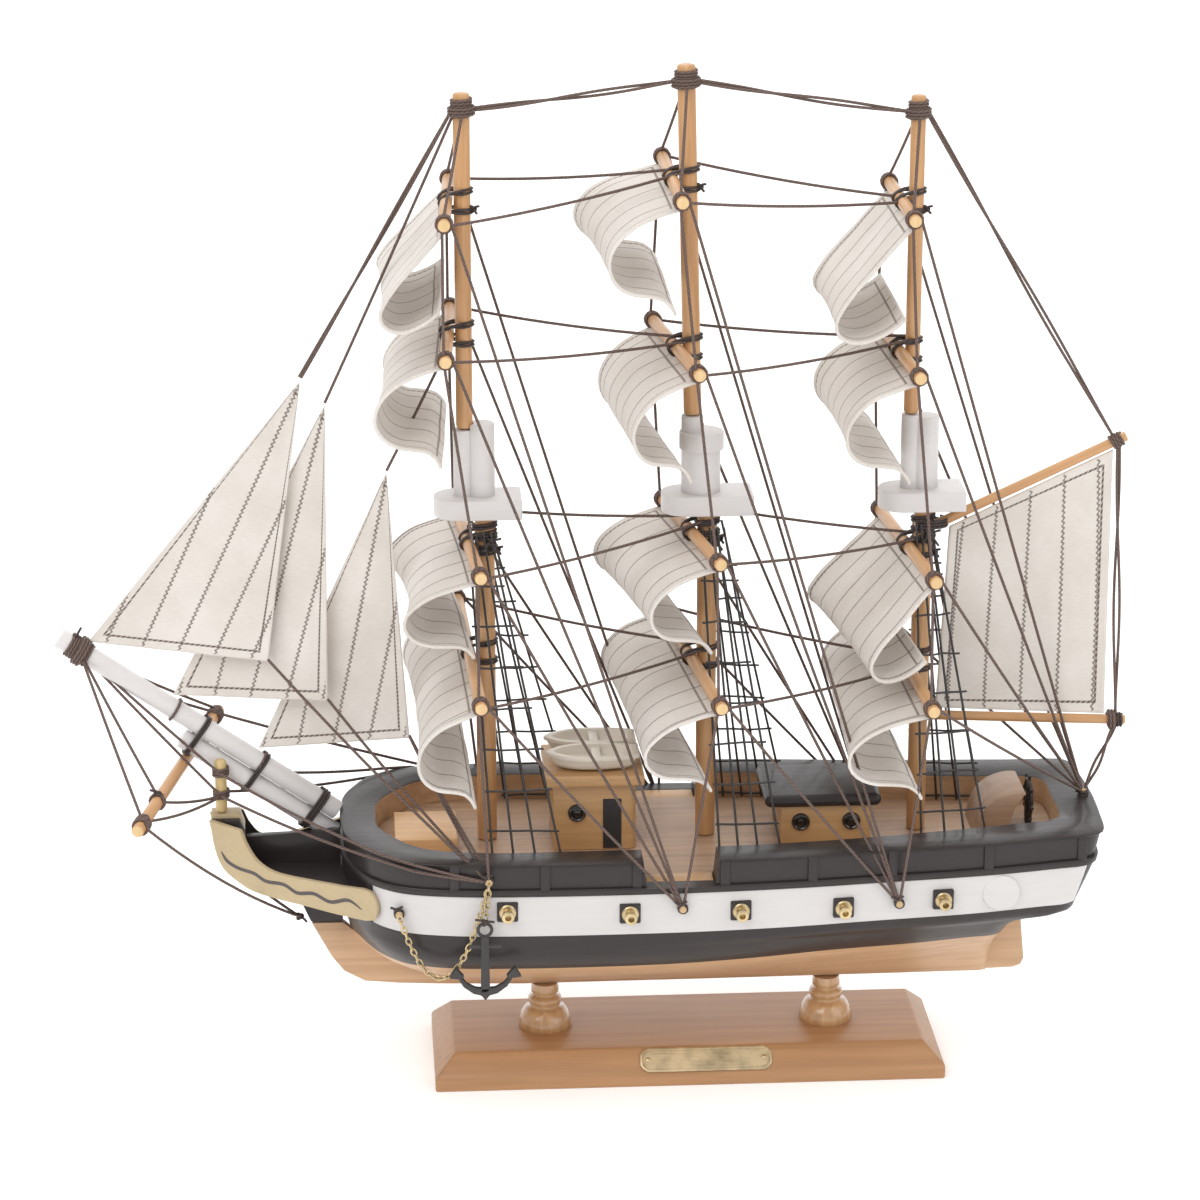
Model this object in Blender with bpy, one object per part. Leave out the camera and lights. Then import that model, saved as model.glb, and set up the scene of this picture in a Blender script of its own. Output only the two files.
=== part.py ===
# Decorative three-masted model ship, fixed on a bevelled wooden base by two turned pedestals.
# Lengths are in millimetres and become metres when a shape is finished.
# X runs aft, Y to starboard, Z up. Z = 0 is the underside of the base.

import math

import bmesh
import bpy
from mathutils import Matrix, Vector

MM = 0.001
GAP = 0.3  # clearance kept between pieces that touch
PORT, STARBOARD = -1, 1

for leftover in list(bpy.data.objects):
    bpy.data.objects.remove(leftover, do_unlink=True)


# Finishes

def finish(name, colour, roughness, metallic=0.0):
    material = bpy.data.materials.new(name)
    material.use_nodes = True
    shader = material.node_tree.nodes["Principled BSDF"]
    shader.inputs["Base Color"].default_value = (*colour, 1.0)
    shader.inputs["Roughness"].default_value = roughness
    shader.inputs["Metallic"].default_value = metallic
    return material


HONEY_WOOD = finish("honey_wood", (0.55, 0.32, 0.15), 0.55)
BLACK_PAINT = finish("black_paint", (0.02, 0.016, 0.016), 0.25)
WHITE_PAINT = finish("white_paint", (0.80, 0.78, 0.77), 0.4)
TAN_PAINT = finish("tan_paint", (0.52, 0.40, 0.24), 0.55)
CREAM_PLASTIC = finish("cream_plastic", (0.70, 0.64, 0.55), 0.45)
CANVAS = finish("canvas", (0.74, 0.69, 0.61), 0.9)
THREAD = finish("thread", (0.10, 0.075, 0.065), 0.85)
BRASS = finish("brass", (0.72, 0.55, 0.25), 0.3, 1.0)
GUN_METAL = finish("gun_metal", (0.07, 0.065, 0.07), 0.45, 0.4)


# Shapes, each a closed bmesh in millimetres

def from_rings(rings):
    """A closed solid through rings of points, with the first and last ring filled."""
    shape = bmesh.new()
    rows = [[shape.verts.new(point) for point in ring] for ring in rings]
    count = len(rows[0])
    for low, high in zip(rows, rows[1:]):
        for i in range(count):
            j = (i + 1) % count
            shape.faces.new((low[i], low[j], high[j], high[i]))
    shape.faces.new(list(reversed(rows[0])))
    shape.faces.new(rows[-1])
    bmesh.ops.recalc_face_normals(shape, faces=shape.faces[:])
    return shape


def block(low, high):
    return prism([(low[0], low[1]), (high[0], low[1]), (high[0], high[1]), (low[0], high[1])],
                 low[2], high[2], "Z")


def prism(outline, low, high, axis):
    """An outline pushed along an axis. Its points are (x, y), (x, z) or (y, z)."""
    place = {"Z": lambda a, b, c: (a, b, c), "Y": lambda a, b, c: (a, c, b), "X": lambda a, b, c: (c, a, b)}[axis]
    return from_rings([[place(a, b, level) for a, b in outline] for level in (low, high)])


def across(direction):
    """Two unit vectors square to a direction."""
    side = direction.cross(Vector((0, 0, 1)))
    if side.length < 0.001:
        side = Vector((1, 0, 0))
    side.normalize()
    return side, side.cross(direction).normalized()


def turned(start, end, profile, sides=12):
    """A turned piece from start to end. The profile's rows are (share of the length, radius)."""
    start, end = Vector(start), Vector(end)
    side, up = across((end - start).normalized())
    rings = []
    for share, radius in profile:
        centre = start.lerp(end, share)
        angles = [2 * math.pi * i / sides for i in range(sides)]
        rings.append([centre + side * radius * math.cos(a) + up * radius * math.sin(a) for a in angles])
    return from_rings(rings)


def dowel(start, end, radius, sides=12):
    """A dowel with slightly eased ends."""
    length = (Vector(end) - Vector(start)).length
    ease = 0.3 / length
    return turned(start, end, ((0, radius - 0.3), (ease, radius), (1 - ease, radius), (1, radius - 0.3)), sides)


def tube(points, radius, sides=6):
    """A round cord through a list of points."""
    points = [Vector(p) for p in points]
    rings = []
    for i, point in enumerate(points):
        before, after = points[max(i - 1, 0)], points[min(i + 1, len(points) - 1)]
        side, up = across((after - before).normalized())
        angles = [2 * math.pi * k / sides for k in range(sides)]
        rings.append([point + side * radius * math.cos(a) + up * radius * math.sin(a) for a in angles])
    return from_rings(rings)


def collar(centre, direction, inner, outer, width, sides=12):
    """A ring of cord wound round a spar."""
    centre, direction = Vector(centre), Vector(direction).normalized()
    side, up = across(direction)
    shape = bmesh.new()
    profile = ((inner, -width / 2), (outer, -width / 2), (outer, width / 2), (inner, width / 2))
    rows = []
    for i in range(sides):
        angle = 2 * math.pi * i / sides
        out = side * math.cos(angle) + up * math.sin(angle)
        rows.append([shape.verts.new(centre + out * radius + direction * shift) for radius, shift in profile])
    for i in range(sides):
        here, there = rows[i], rows[(i + 1) % sides]
        for k in range(4):
            shape.faces.new((here[k], there[k], there[(k + 1) % 4], here[(k + 1) % 4]))
    bmesh.ops.recalc_face_normals(shape, faces=shape.faces[:])
    return shape


def cloth(rows, thickness):
    """A thin closed sheet round a grid of points."""
    rows = [[Vector(p) for p in row] for row in rows]
    high, wide = len(rows), len(rows[0])
    shape = bmesh.new()
    faces = {}
    for side in (-1, 1):
        for i in range(high):
            for j in range(wide):
                down = rows[min(i + 1, high - 1)][j] - rows[max(i - 1, 0)][j]
                along = rows[i][min(j + 1, wide - 1)] - rows[i][max(j - 1, 0)]
                out = down.cross(along).normalized()
                faces[side, i, j] = shape.verts.new(rows[i][j] + out * side * thickness / 2)
    for side in (-1, 1):
        for i in range(high - 1):
            for j in range(wide - 1):
                shape.faces.new([faces[side, i + a, j + b] for a, b in ((0, 0), (1, 0), (1, 1), (0, 1))])
    rim = [(i, 0) for i in range(high)] + [(high - 1, j) for j in range(1, wide)]
    rim += [(i, wide - 1) for i in range(high - 2, -1, -1)] + [(0, j) for j in range(wide - 2, 0, -1)]
    for here, there in zip(rim, rim[1:] + rim[:1]):
        shape.faces.new((faces[(-1, *here)], faces[(-1, *there)], faces[(1, *there)], faces[(1, *here)]))
    bmesh.ops.recalc_face_normals(shape, faces=shape.faces[:])
    return shape


def boolean(body, tool, operation):
    """The body with a tool joined to it or cut out of it."""
    pair = []
    for shape in (body, tool):
        mesh = bpy.data.meshes.new("work")
        shape.to_mesh(mesh)
        shape.free()
        pair.append(bpy.data.objects.new("work", mesh))
        bpy.context.collection.objects.link(pair[-1])
    step = pair[0].modifiers.new("step", "BOOLEAN")
    step.operation = operation
    step.solver = "EXACT"
    step.object = pair[1]
    bpy.context.view_layer.update()
    result = bmesh.new()
    result.from_mesh(pair[0].evaluated_get(bpy.context.evaluated_depsgraph_get()).to_mesh())
    for solid in pair:
        bpy.data.objects.remove(solid, do_unlink=True)
    return result


def joined(body, *tools):
    for tool in tools:
        body = boolean(body, tool, "UNION")
    return body


def cut(body, *tools):
    for tool in tools:
        body = boolean(body, tool, "DIFFERENCE")
    return body


def piece(name, shape, material, origin=(0, 0, 0), sharp=40):
    """Finish a shape as one named object whose origin is the given point."""
    bmesh.ops.remove_doubles(shape, verts=shape.verts[:], dist=0.001)
    bmesh.ops.translate(shape, vec=-Vector(origin), verts=shape.verts[:])
    bmesh.ops.scale(shape, vec=(MM, MM, MM), verts=shape.verts[:])
    mesh = bpy.data.meshes.new(name)
    shape.to_mesh(mesh)
    shape.free()
    mesh.shade_smooth()
    mesh.set_sharp_from_angle(angle=math.radians(sharp))
    mesh.materials.append(material)
    made = bpy.data.objects.new(name, mesh)
    made.location = Vector(origin) * MM
    bpy.context.collection.objects.link(made)
    return made


def between(table, value):
    """Read a table of (key, result) rows in a straight line between its rows."""
    for (low, first), (high, last) in zip(table, table[1:]):
        if value <= high:
            return first + (last - first) * max(value - low, 0) / (high - low)
    return table[-1][1]


# The base: a block whose upper edges slope in, with the two turned pedestals it carries

BASE_LEFT, BASE_RIGHT, BASE_WIDTH = -49.8, 105.2, 51.3
TOP_LEFT, TOP_RIGHT, TOP_WIDTH = -43.7, 99.0, 39.6
BASE_EDGE, BASE_TOP = 4.3, 10.5
CORNER = 1.0
PEDESTALS = (-15.4, 71.3)
PEDESTAL_TOP = 24.2
# height, radius
PEDESTAL_PROFILE = ((9.5, 8.0), (11.5, 8.2), (13.5, 7.9), (15.0, 7.3), (16.6, 6.2), (17.5, 4.8), (18.2, 4.7),
                    (19.2, 4.9), (20.4, 4.5), (20.8, 3.7), (21.2, 3.9), (22.4, 4.2), (PEDESTAL_TOP, 4.0))


def base_ring(left, right, width, corner, z):
    half = width / 2
    return [(x, y, z) for x, y in ((left + corner, -half), (right - corner, -half), (right, -half + corner),
                                   (right, half - corner), (right - corner, half), (left + corner, half),
                                   (left, half - corner), (left, -half + corner))]


base = from_rings([base_ring(BASE_LEFT, BASE_RIGHT, BASE_WIDTH, CORNER, 0),
                   base_ring(BASE_LEFT, BASE_RIGHT, BASE_WIDTH, CORNER, BASE_EDGE),
                   base_ring(TOP_LEFT, TOP_RIGHT, TOP_WIDTH, CORNER / 2, BASE_TOP)])
for x in PEDESTALS:
    low, high = PEDESTAL_PROFILE[0][0], PEDESTAL_PROFILE[-1][0]
    profile = [((z - low) / (high - low), radius) for z, radius in PEDESTAL_PROFILE]
    base = joined(base, turned((x, 0, low), (x, 0, high), profile, 20))
piece("base", base, HONEY_WOOD)

# The blank brass nameplate lies on the near slope

PLATE_CENTRE, PLATE_LENGTH, PLATE_HEIGHT, PLATE_THICK = 32.3, 40.0, 7.8, 0.5
slope_run = (BASE_WIDTH - TOP_WIDTH) / 2
slope_rise = BASE_TOP - BASE_EDGE
slope = math.atan2(slope_rise, slope_run)
along, up, PLATE_CLIP = PLATE_LENGTH / 2, PLATE_HEIGHT / 2, 2.2
plate_outline = ((-along, PLATE_CLIP - up), (PLATE_CLIP - along, -up), (along - PLATE_CLIP, -up),
                 (along, PLATE_CLIP - up), (along, up - PLATE_CLIP), (along - PLATE_CLIP, up),
                 (PLATE_CLIP - along, up), (-along, up - PLATE_CLIP))
nameplate = prism(plate_outline, GAP, GAP + PLATE_THICK, "Z")
bmesh.ops.rotate(nameplate, cent=(0, 0, 0), matrix=Matrix.Rotation(slope, 3, "X"), verts=nameplate.verts[:])
middle = (PLATE_CENTRE, -(BASE_WIDTH + TOP_WIDTH) / 4, (BASE_EDGE + BASE_TOP) / 2)
bmesh.ops.translate(nameplate, vec=middle, verts=nameplate.verts[:])
piece("nameplate", nameplate, BRASS)


# The hull: stacked lifts that share one deck outline

# distance aft, half breadth
DECK_PLAN = ((-76.8, 0.9), (-75.7, 14.8), (-72.9, 23.0), (-68.5, 31.5), (-62.3, 37.3), (-56.3, 40.2),
             (-43.0, 42.5), (-17.0, 43.5), (28.0, 43.2), (58.0, 41.5), (88.0, 38.5), (118.0, 36.0),
             (138.0, 33.5), (146.0, 32.6), (149.5, 30.0), (151.1, 16.0), (151.7, 0.9))
BOW, STERN = DECK_PLAN[0][0], DECK_PLAN[-1][0]
MIDSHIP_HALF = 43.5
SHEER_RISE, SHEER_MIDDLE, SHEER_REACH = 1.6, 30.0, 118.0


def sheer(x):
    """How far the lifts curve up towards bow and stern."""
    return SHEER_RISE * ((x - SHEER_MIDDLE) / SHEER_REACH) ** 4


def hull_ring(level, rise=1.0):
    """One level of the hull. The level is (z, bow x, stern x, breadth factor, fineness)."""
    z, bow, stern, factor, fineness = level
    side = []
    for x, half in DECK_PLAN:
        along = bow + (x - BOW) / (STERN - BOW) * (stern - bow)
        breadth = MIDSHIP_HALF * factor * (half / MIDSHIP_HALF) ** fineness
        side.append((along, max(breadth, 0.8), z + rise * sheer(along)))
    return [(x, -y, z) for x, y, z in side] + [(x, y, z) for x, y, z in reversed(side)]


def hull_lift(levels, rises):
    """A solid through hull levels, whose top and bottom are strips across the ship."""
    rings = [hull_ring(level, rise) for level, rise in zip(levels, rises)]
    shape = from_rings(rings)
    for end in (rings[0], rings[-1]):
        corners = {tuple(round(c, 4) for c in point) for point in end}
        caps = [f for f in shape.faces if len(f.verts) == len(end)
                and all(tuple(round(c, 4) for c in v.co) in corners for v in f.verts)]
        for cap in caps:
            verts = sorted(cap.verts, key=lambda v: (v.co.y > 0, v.co.x))
            half = len(verts) // 2
            bmesh.ops.delete(shape, geom=[cap], context="FACES_ONLY")
            near, far = verts[:half], verts[half:]
            for i in range(half - 1):
                shape.faces.new((near[i], near[i + 1], far[i + 1], far[i]))
    bmesh.ops.recalc_face_normals(shape, faces=shape.faces[:])
    return shape


# z, bow x, stern x, breadth factor, fineness
BOTTOM_LEVELS = ((25.2, -46.0, 121.0, 0.05, 1.0), (27.0, -51.0, 121.6, 0.12, 2.0), (30.0, -58.5, 122.0, 0.25, 3.0),
                 (34.0, -65.0, 122.3, 0.42, 3.0), (38.0, -70.0, 122.7, 0.60, 2.6), (42.0, -73.3, 123.0, 0.77, 2.2),
                 (45.0, -74.5, 124.0, 0.87, 2.0))
WALE_LEVELS = ((45.3, -74.5, 124.0, 0.87, 2.0), (47.5, -75.2, 124.5, 0.92, 1.8), (50.0, -75.9, 125.5, 0.955, 1.6),
               (52.6, -76.2, 129.0, 0.975, 1.4), (55.2, -76.5, 143.3, 0.99, 1.25), (57.4, -76.6, 144.4, 0.995, 1.15))
BAND_LEVELS = ((57.7, -76.6, 144.5, 0.995, 1.15), (69.9, -76.8, 149.3, 1.0, 1.0))
# A moulding round the foot, sunk panels and a proud rim
BULWARK_LEVELS = ((70.2, -76.8, 149.8, 1.011, 1.0), (72.1, -76.8, 150.2, 1.011, 1.0),
                  (72.4, -76.8, 149.4, 0.988, 1.0), (79.2, -76.8, 150.9, 0.988, 1.0),
                  (79.5, -76.8, STERN, 1.006, 1.0), (80.2, -76.8, STERN, 0.995, 1.0))
RIM_RISE = 0.9  # share of the sheer that the rim follows
DECK_TOP, DECK_UNDER = 72.0, 70.2

# Keel plank, stem and sternpost in one outline: distance aft, height
KEEL_HALF = 1.5
KEEL_OUTLINE = ((-86.2, 46.3), (-83.5, 41.1), (-80.3, 35.1), (-76.7, 30.3), (-70.4, 26.8), (-60.0, 25.8),
                (-47.5, 25.2), (-21.8, 24.5), (32.4, 24.6), (95.5, 24.9), (129.7, 26.0), (131.8, 26.9),
                (132.3, 28.9), (131.1, 40.9), (130.8, 52.2), (129.3, 52.2), (126.2, 49.6), (125.0, 47.3),
                (124.4, 45.0), (122.5, 40.0), (110.0, 30.0), (-50.0, 30.0), (-74.0, 44.0), (-76.6, 46.3))
hull_bottom = hull_lift(BOTTOM_LEVELS, [0.0] * len(BOTTOM_LEVELS))
hull_bottom = joined(hull_bottom, prism(KEEL_OUTLINE, -KEEL_HALF, KEEL_HALF, "Y"))
piece("hull_bottom", hull_bottom, HONEY_WOOD)

wale_rises = [0.0, 0.0, 0.0, 0.0, 0.5, 1.0]
piece("hull_wale", hull_lift(WALE_LEVELS, wale_rises), BLACK_PAINT)

# The white band carries five guns a side, a round boss and the pegs that the rigging is tied to

# distance aft, height
GUNS = ((-28.4, 65.6), (7.6, 64.3), (40.4, 64.0), (71.1, 63.0), (101.2, 63.7))
GUN_PLATE, GUN_PLATE_THICK, GUN_ROOT, GUN_REACH = 3.1, 0.8, 1.0, 5.2
# share of the barrel's length, radius: flange, barrel and muzzle ring
GUN_PROFILE = ((0.0, 2.4), (0.36, 2.4), (0.40, 1.5), (0.80, 1.3), (0.83, 1.85), (1.0, 1.7))
BORE_RADIUS, BORE_DEPTH = 0.9, 2.0
BOSS_X, BOSS_Z, BOSS_RADIUS, BOSS_THICK = 118.7, 64.7, 5.6, 0.5
BAND_PEGS = ((-60.1, 64.2), (23.1, 65.6), (87.8, 63.5))
PEG_RADIUS, PEG_REACH = 0.8, 2.2


def half_breadth(x, z):
    """Half breadth of the painted side at a place."""
    levels = WALE_LEVELS + BAND_LEVELS + BULWARK_LEVELS
    for low, high in zip(levels, levels[1:]):
        if low[0] <= z <= high[0]:
            share = (z - low[0]) / (high[0] - low[0])
            level = [a + (b - a) * share for a, b in zip(low, high)]
            ring = [(px, -py) for px, py, pz in hull_ring(level)[:len(DECK_PLAN)]]
            return between(ring, x)
    return 0.0


band = hull_lift(BAND_LEVELS, [1.0, 1.0])
for side in (PORT, STARBOARD):
    for x, z in GUNS:
        y = side * half_breadth(x, z)
        outward = Vector((0, side, 0))
        plate = block((x - GUN_PLATE, min(y - side * 1.5, y + side * GUN_PLATE_THICK), z - GUN_PLATE),
                      (x + GUN_PLATE, max(y - side * 1.5, y + side * GUN_PLATE_THICK), z + GUN_PLATE))
        seat = Vector((x, y, z))
        barrel = turned(seat - outward * GUN_ROOT, seat + outward * GUN_REACH, GUN_PROFILE, 12)
        bore = turned(seat + outward * (GUN_REACH - BORE_DEPTH), seat + outward * (GUN_REACH + 1),
                      ((0, BORE_RADIUS), (1, BORE_RADIUS)), 8)
        band = joined(band, joined(plate, cut(barrel, bore)))
    y = side * half_breadth(BOSS_X, BOSS_Z)
    band = joined(band, turned((BOSS_X, y - side * 1.5, BOSS_Z), (BOSS_X, y + side * BOSS_THICK, BOSS_Z),
                               ((0, BOSS_RADIUS), (1, BOSS_RADIUS)), 20))
    for x, z in BAND_PEGS:
        y = side * half_breadth(x, z)
        band = joined(band, turned((x, y - side * 1.5, z), (x, y + side * PEG_REACH, z),
                                   ((0, PEG_RADIUS), (1, PEG_RADIUS)), 8))
piece("hull_band", band, WHITE_PAINT)

# The black bulwark is a ring round the well, cut down to the deck at the waist on both sides

# distance aft, half breadth
WELL_PLAN = ((-66.4, 0.8), (-65.9, 9.0), (-62.3, 17.2), (-52.3, 28.7), (-32.3, 33.0), (-12.3, 33.0), (27.7, 32.0),
             (67.7, 28.9), (107.7, 23.1), (127.7, 20.3), (135.5, 19.0), (139.0, 15.5), (139.6, 0.8))
WAIST_FORE, WAIST_AFT, WAIST_SLOPE = 12.5, 33.0, 1.2
WAIST_MARGIN = 38.3
RIBS = (-43.8, -17.3, 9.7, 35.6, 61.7, 85.7, 114.7, 143.2)
RIB_HALF, RIB_ROOT, RIB_PROUD, RIB_FOOT, RIB_TOP = 1.45, 1.6, 0.6, 71.6, 79.6
SIDE_PEG = (-33.8, 75.3)
STERN_PEG_X, STERN_PEG_RADIUS, STERN_PEG_TOP = 149.0, 0.8, 84.2


def plan_prism(plan, shrink, low, high, rise):
    """A solid on a half plan, shrunk all round, whose faces follow the sheer by a share."""
    half = [(x + shrink * (1 if i == 0 else -1 if i == len(plan) - 1 else 0), max(y - shrink, 0.5))
            for i, (x, y) in enumerate(plan)]
    rings = []
    for z in (low, high):
        near = [(x, -y, z + rise * sheer(x)) for x, y in half]
        far = [(x, y, z + rise * sheer(x)) for x, y in reversed(half)]
        rings.append(near + far)
    shape = bmesh.new()
    rows = [[shape.verts.new(p) for p in ring] for ring in rings]
    count, points = len(rows[0]), len(half)
    for i in range(count):
        j = (i + 1) % count
        shape.faces.new((rows[0][i], rows[0][j], rows[1][j], rows[1][i]))
    for row in rows:
        for i in range(points - 1):
            shape.faces.new((row[i], row[i + 1], row[count - 2 - i], row[count - 1 - i]))
    bmesh.ops.recalc_face_normals(shape, faces=shape.faces[:])
    return shape


bulwark = hull_lift(BULWARK_LEVELS, [1.0, 1.0, 1.0, RIM_RISE, RIM_RISE, RIM_RISE])
for side in (PORT, STARBOARD):
    for x in RIBS:
        y = side * half_breadth(x, (RIB_FOOT + RIB_TOP) / 2)
        low, high = sorted((y - side * RIB_ROOT, y + side * RIB_PROUD))
        bulwark = joined(bulwark, block((x - RIB_HALF, low, RIB_FOOT + sheer(x)),
                                        (x + RIB_HALF, high, RIB_TOP + RIM_RISE * sheer(x))))
bulwark = cut(bulwark, plan_prism(WELL_PLAN, 0.0, 60, 95, 0.0))
waist_top = 85.0
lean = WAIST_SLOPE * (waist_top - DECK_TOP) / 8
waist = prism([(WAIST_FORE, DECK_TOP), (WAIST_AFT, DECK_TOP), (WAIST_AFT + lean, waist_top),
               (WAIST_FORE - lean, waist_top)], -60, 60, "Y")
tongue_slot = block((WAIST_FORE, -WAIST_MARGIN, 60), (WAIST_AFT, WAIST_MARGIN, DECK_TOP + 1))
bulwark = cut(bulwark, waist, tongue_slot)
for side in (PORT, STARBOARD):
    x, z = SIDE_PEG
    y = side * half_breadth(x, z)
    bulwark = joined(bulwark, turned((x, y - side * 1.5, z), (x, y + side * PEG_REACH, z),
                                     ((0, PEG_RADIUS), (1, PEG_RADIUS)), 8))
stern_peg = turned((STERN_PEG_X, 0, 79.0), (STERN_PEG_X, 0, STERN_PEG_TOP),
                   ((0, STERN_PEG_RADIUS), (1, STERN_PEG_RADIUS)), 8)
piece("bulwark", joined(bulwark, stern_peg), BLACK_PAINT)

# The deck, with its tongues in the waist gaps, the fore hatch and the companion hood

HATCH_FORE, HATCH_AFT, HATCH_HALF, HATCH_TOP = -60.7, -41.9, 11.9, 76.7
COMPANION_HALF = 10.0
# distance aft, height
COMPANION_PROFILE = ((114.3, 71.5), (115.3, 76.0), (116.3, 79.3), (118.0, 82.0), (120.6, 84.2), (124.0, 85.7),
                     (127.0, 86.3), (129.6, 86.2), (124.8, 75.8), (123.6, 71.5))
deck = plan_prism(WELL_PLAN, GAP, DECK_UNDER, DECK_TOP, 1.0)
tongues = block((WAIST_FORE + GAP, GAP - WAIST_MARGIN, DECK_UNDER + 0.05),
                (WAIST_AFT - GAP, WAIST_MARGIN - GAP, DECK_TOP))
hatch = block((HATCH_FORE, -HATCH_HALF, DECK_UNDER + 1.2), (HATCH_AFT, HATCH_HALF, HATCH_TOP))
companion = prism(COMPANION_PROFILE, -COMPANION_HALF, COMPANION_HALF, "Y")
piece("deck", joined(deck, tongues, hatch, companion), HONEY_WOOD)

# The ship's wheel stands behind the companion hood, on a short post

WHEEL_X, WHEEL_Z, WHEEL_RADIUS, WHEEL_THICK = 132.3, 81.2, 6.2, 1.2
SPOKE_REACH, SPOKE_RADIUS, SPOKES = 7.6, 0.45, 8
HUB_RADIUS, HUB_HALF = 1.9, 0.8
hub = Vector((WHEEL_X, 0, WHEEL_Z))
fore_aft = Vector((HUB_HALF, 0, 0))
wheel = turned(hub - fore_aft, hub + fore_aft, ((0, HUB_RADIUS), (1, HUB_RADIUS)), 12)
for k in range(SPOKES):
    angle = math.radians(8) + 2 * math.pi * k / SPOKES
    out = Vector((0, math.cos(angle), math.sin(angle)))
    wheel = joined(wheel, turned(hub + out * 1.2, hub + out * SPOKE_REACH, ((0, SPOKE_RADIUS), (1, SPOKE_RADIUS)), 6))
wheel = joined(wheel, collar(hub, (1, 0, 0), WHEEL_RADIUS - 1.3, WHEEL_RADIUS, WHEEL_THICK, 16))
wheel_foot = DECK_TOP + sheer(WHEEL_X) + GAP
wheel = joined(wheel, block((WHEEL_X - 0.95, -1.4, wheel_foot), (WHEEL_X + 0.95, 1.4, WHEEL_Z - 0.3)))
piece("ships_wheel", wheel, BLACK_PAINT)


# Beakhead: two tan boards from the stem head to the hull sides, joined by the head block

HEAD_FORE, HEAD_AFT = (-114.0, 4.2), (-67.0, 34.5)
BOARD_HALF = 0.8
HEAD_TOP = 82.3
# distance aft, height along the board, outer edge from the head round to the hull and back
BOARD_OUTLINE = ((-115.9, 81.2), (-115.3, 78.7), (-114.3, 72.5), (-111.9, 66.6), (-107.3, 63.2), (-102.8, 61.3),
                 (-95.0, 60.5), (-87.5, 60.3), (-76.3, 59.8), (-67.3, 60.4), (-66.2, 62.8), (-66.2, 65.8),
                 (-68.4, 69.3), (-76.1, 69.1), (-87.3, 68.7), (-95.5, 68.7), (-99.5, 69.8), (-102.5, 72.0),
                 (-105.1, 76.2), (-106.5, 80.0))
HEAD_BLOCK = ((-115.6, 80.5), (-110.0, 66.0), (-105.9, 66.0), (-105.6, 78.0), (-107.0, HEAD_TOP), (-115.6, HEAD_TOP))
head_slope = (HEAD_AFT[1] - HEAD_FORE[1]) / (HEAD_AFT[0] - HEAD_FORE[0])
board_side = Vector((-head_slope, 1)).normalized() * BOARD_HALF


def head_board(side):
    rings = []
    for sign in (-1, 1):
        ring = []
        for x, z in BOARD_OUTLINE:
            y = HEAD_FORE[1] + (x - HEAD_FORE[0]) * head_slope
            ring.append((x + sign * board_side.x, side * (y + sign * board_side.y), z))
        rings.append(ring)
    return from_rings(rings)


head_boards = joined(prism(HEAD_BLOCK, -4.4, 4.4, "Y"), head_board(PORT), head_board(STARBOARD))
piece("head_boards", head_boards, TAN_PAINT)

# The black head knee closes the middle between the boards and the stem

KNEE_HALF = 1.5
KNEE_OUTLINE = ((-105.2, 74.9), (-105.5, 66.2), (-104.0, 63.0), (-99.0, 58.9), (-91.5, 54.8), (-88.7, 52.0),
                (-86.4, 46.7), (-76.7, 46.7), (-77.2, 76.5), (-84.3, 75.6))
STEM_NAIL = (-89.8, 49.2)
knee = prism(KNEE_OUTLINE, -KNEE_HALF, KNEE_HALF, "Y")
nail = turned((-86.5, 0, STEM_NAIL[1]), (STEM_NAIL[0] - 0.6, 0, STEM_NAIL[1]), ((0, 0.6), (1, 0.6)), 8)
piece("head_knee", joined(knee, nail), BLACK_PAINT)

BOW_POST_X, BOW_POST_TOP, BOW_POST_RADIUS = -112.4, 99.3, 1.75
piece("bow_post", dowel((BOW_POST_X, 0, HEAD_TOP + GAP), (BOW_POST_X, 0, BOW_POST_TOP), BOW_POST_RADIUS), HONEY_WOOD)

# Bowsprit below, jib boom lashed on top of it: both pass the bow post to starboard. Spritsail yard under them

SPAR_RADIUS = 3.0
SPAR_SIDE = 5.1
JIB_BOOM = ((-159.0, SPAR_SIDE, 137.0), (-77.7, SPAR_SIDE, 80.2))
BOWSPRIT = ((-123.8, SPAR_SIDE, 104.6), (-78.6, SPAR_SIDE, 73.1))
piece("jib_boom", dowel(*JIB_BOOM, SPAR_RADIUS, 14), WHITE_PAINT)
piece("bowsprit", dowel(*BOWSPRIT, SPAR_RADIUS, 14), WHITE_PAINT)


# Masts: a lower dowel, a white top, and an upper dowel stepped in front of the lower one

LOWER_TOP = 174.2
TOP_UNDER, TOP_FLOOR = 174.5, 180.5
TOP_HALF = 7.5
# name, lower mast x, radius, upper mast x at its heel, x at its head, heel z, head z, radius, top fore x, aft x
MASTS = (("fore", -32.6, 2.95, -38.2, -38.2, 200.9, 299.9, 2.45, -47.6, -21.7),
         ("main", 33.4, 2.95, 28.8, 26.2, 204.0, 307.4, 2.65, 19.6, 46.6),
         ("mizzen", 97.8, 2.8, 93.4, 93.4, 203.2, 297.7, 2.2, 84.1, 109.5))
# mast, post x, radius, top z, in the order heel of the upper mast, head of the lower mast, collar
TOP_POSTS = {"fore": ((-38.6, 3.0, 200.6), (-33.4, 4.0, 202.3)),
             "main": ((31.5, 5.6, 194.0), (28.7, 3.2, 203.7)),
             "mizzen": ((93.6, 3.0, 202.9), (98.0, 3.8, 202.4))}
STEP_DEPTH = 10.0
MAIN_COLLAR_LOW, MAIN_COLLAR_HIGH, MAIN_COLLAR_RADIUS = 193.5, 198.8, 6.6


def top_platform(fore, aft):
    """A platform with a rounded front and a square back."""
    front = [(fore + TOP_HALF - TOP_HALF * math.sin(math.pi * k / 8), -TOP_HALF * math.cos(math.pi * k / 8))
             for k in range(9)]
    return prism([(aft, -TOP_HALF)] + front + [(aft, TOP_HALF)], TOP_UNDER, TOP_FLOOR, "Z")


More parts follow.
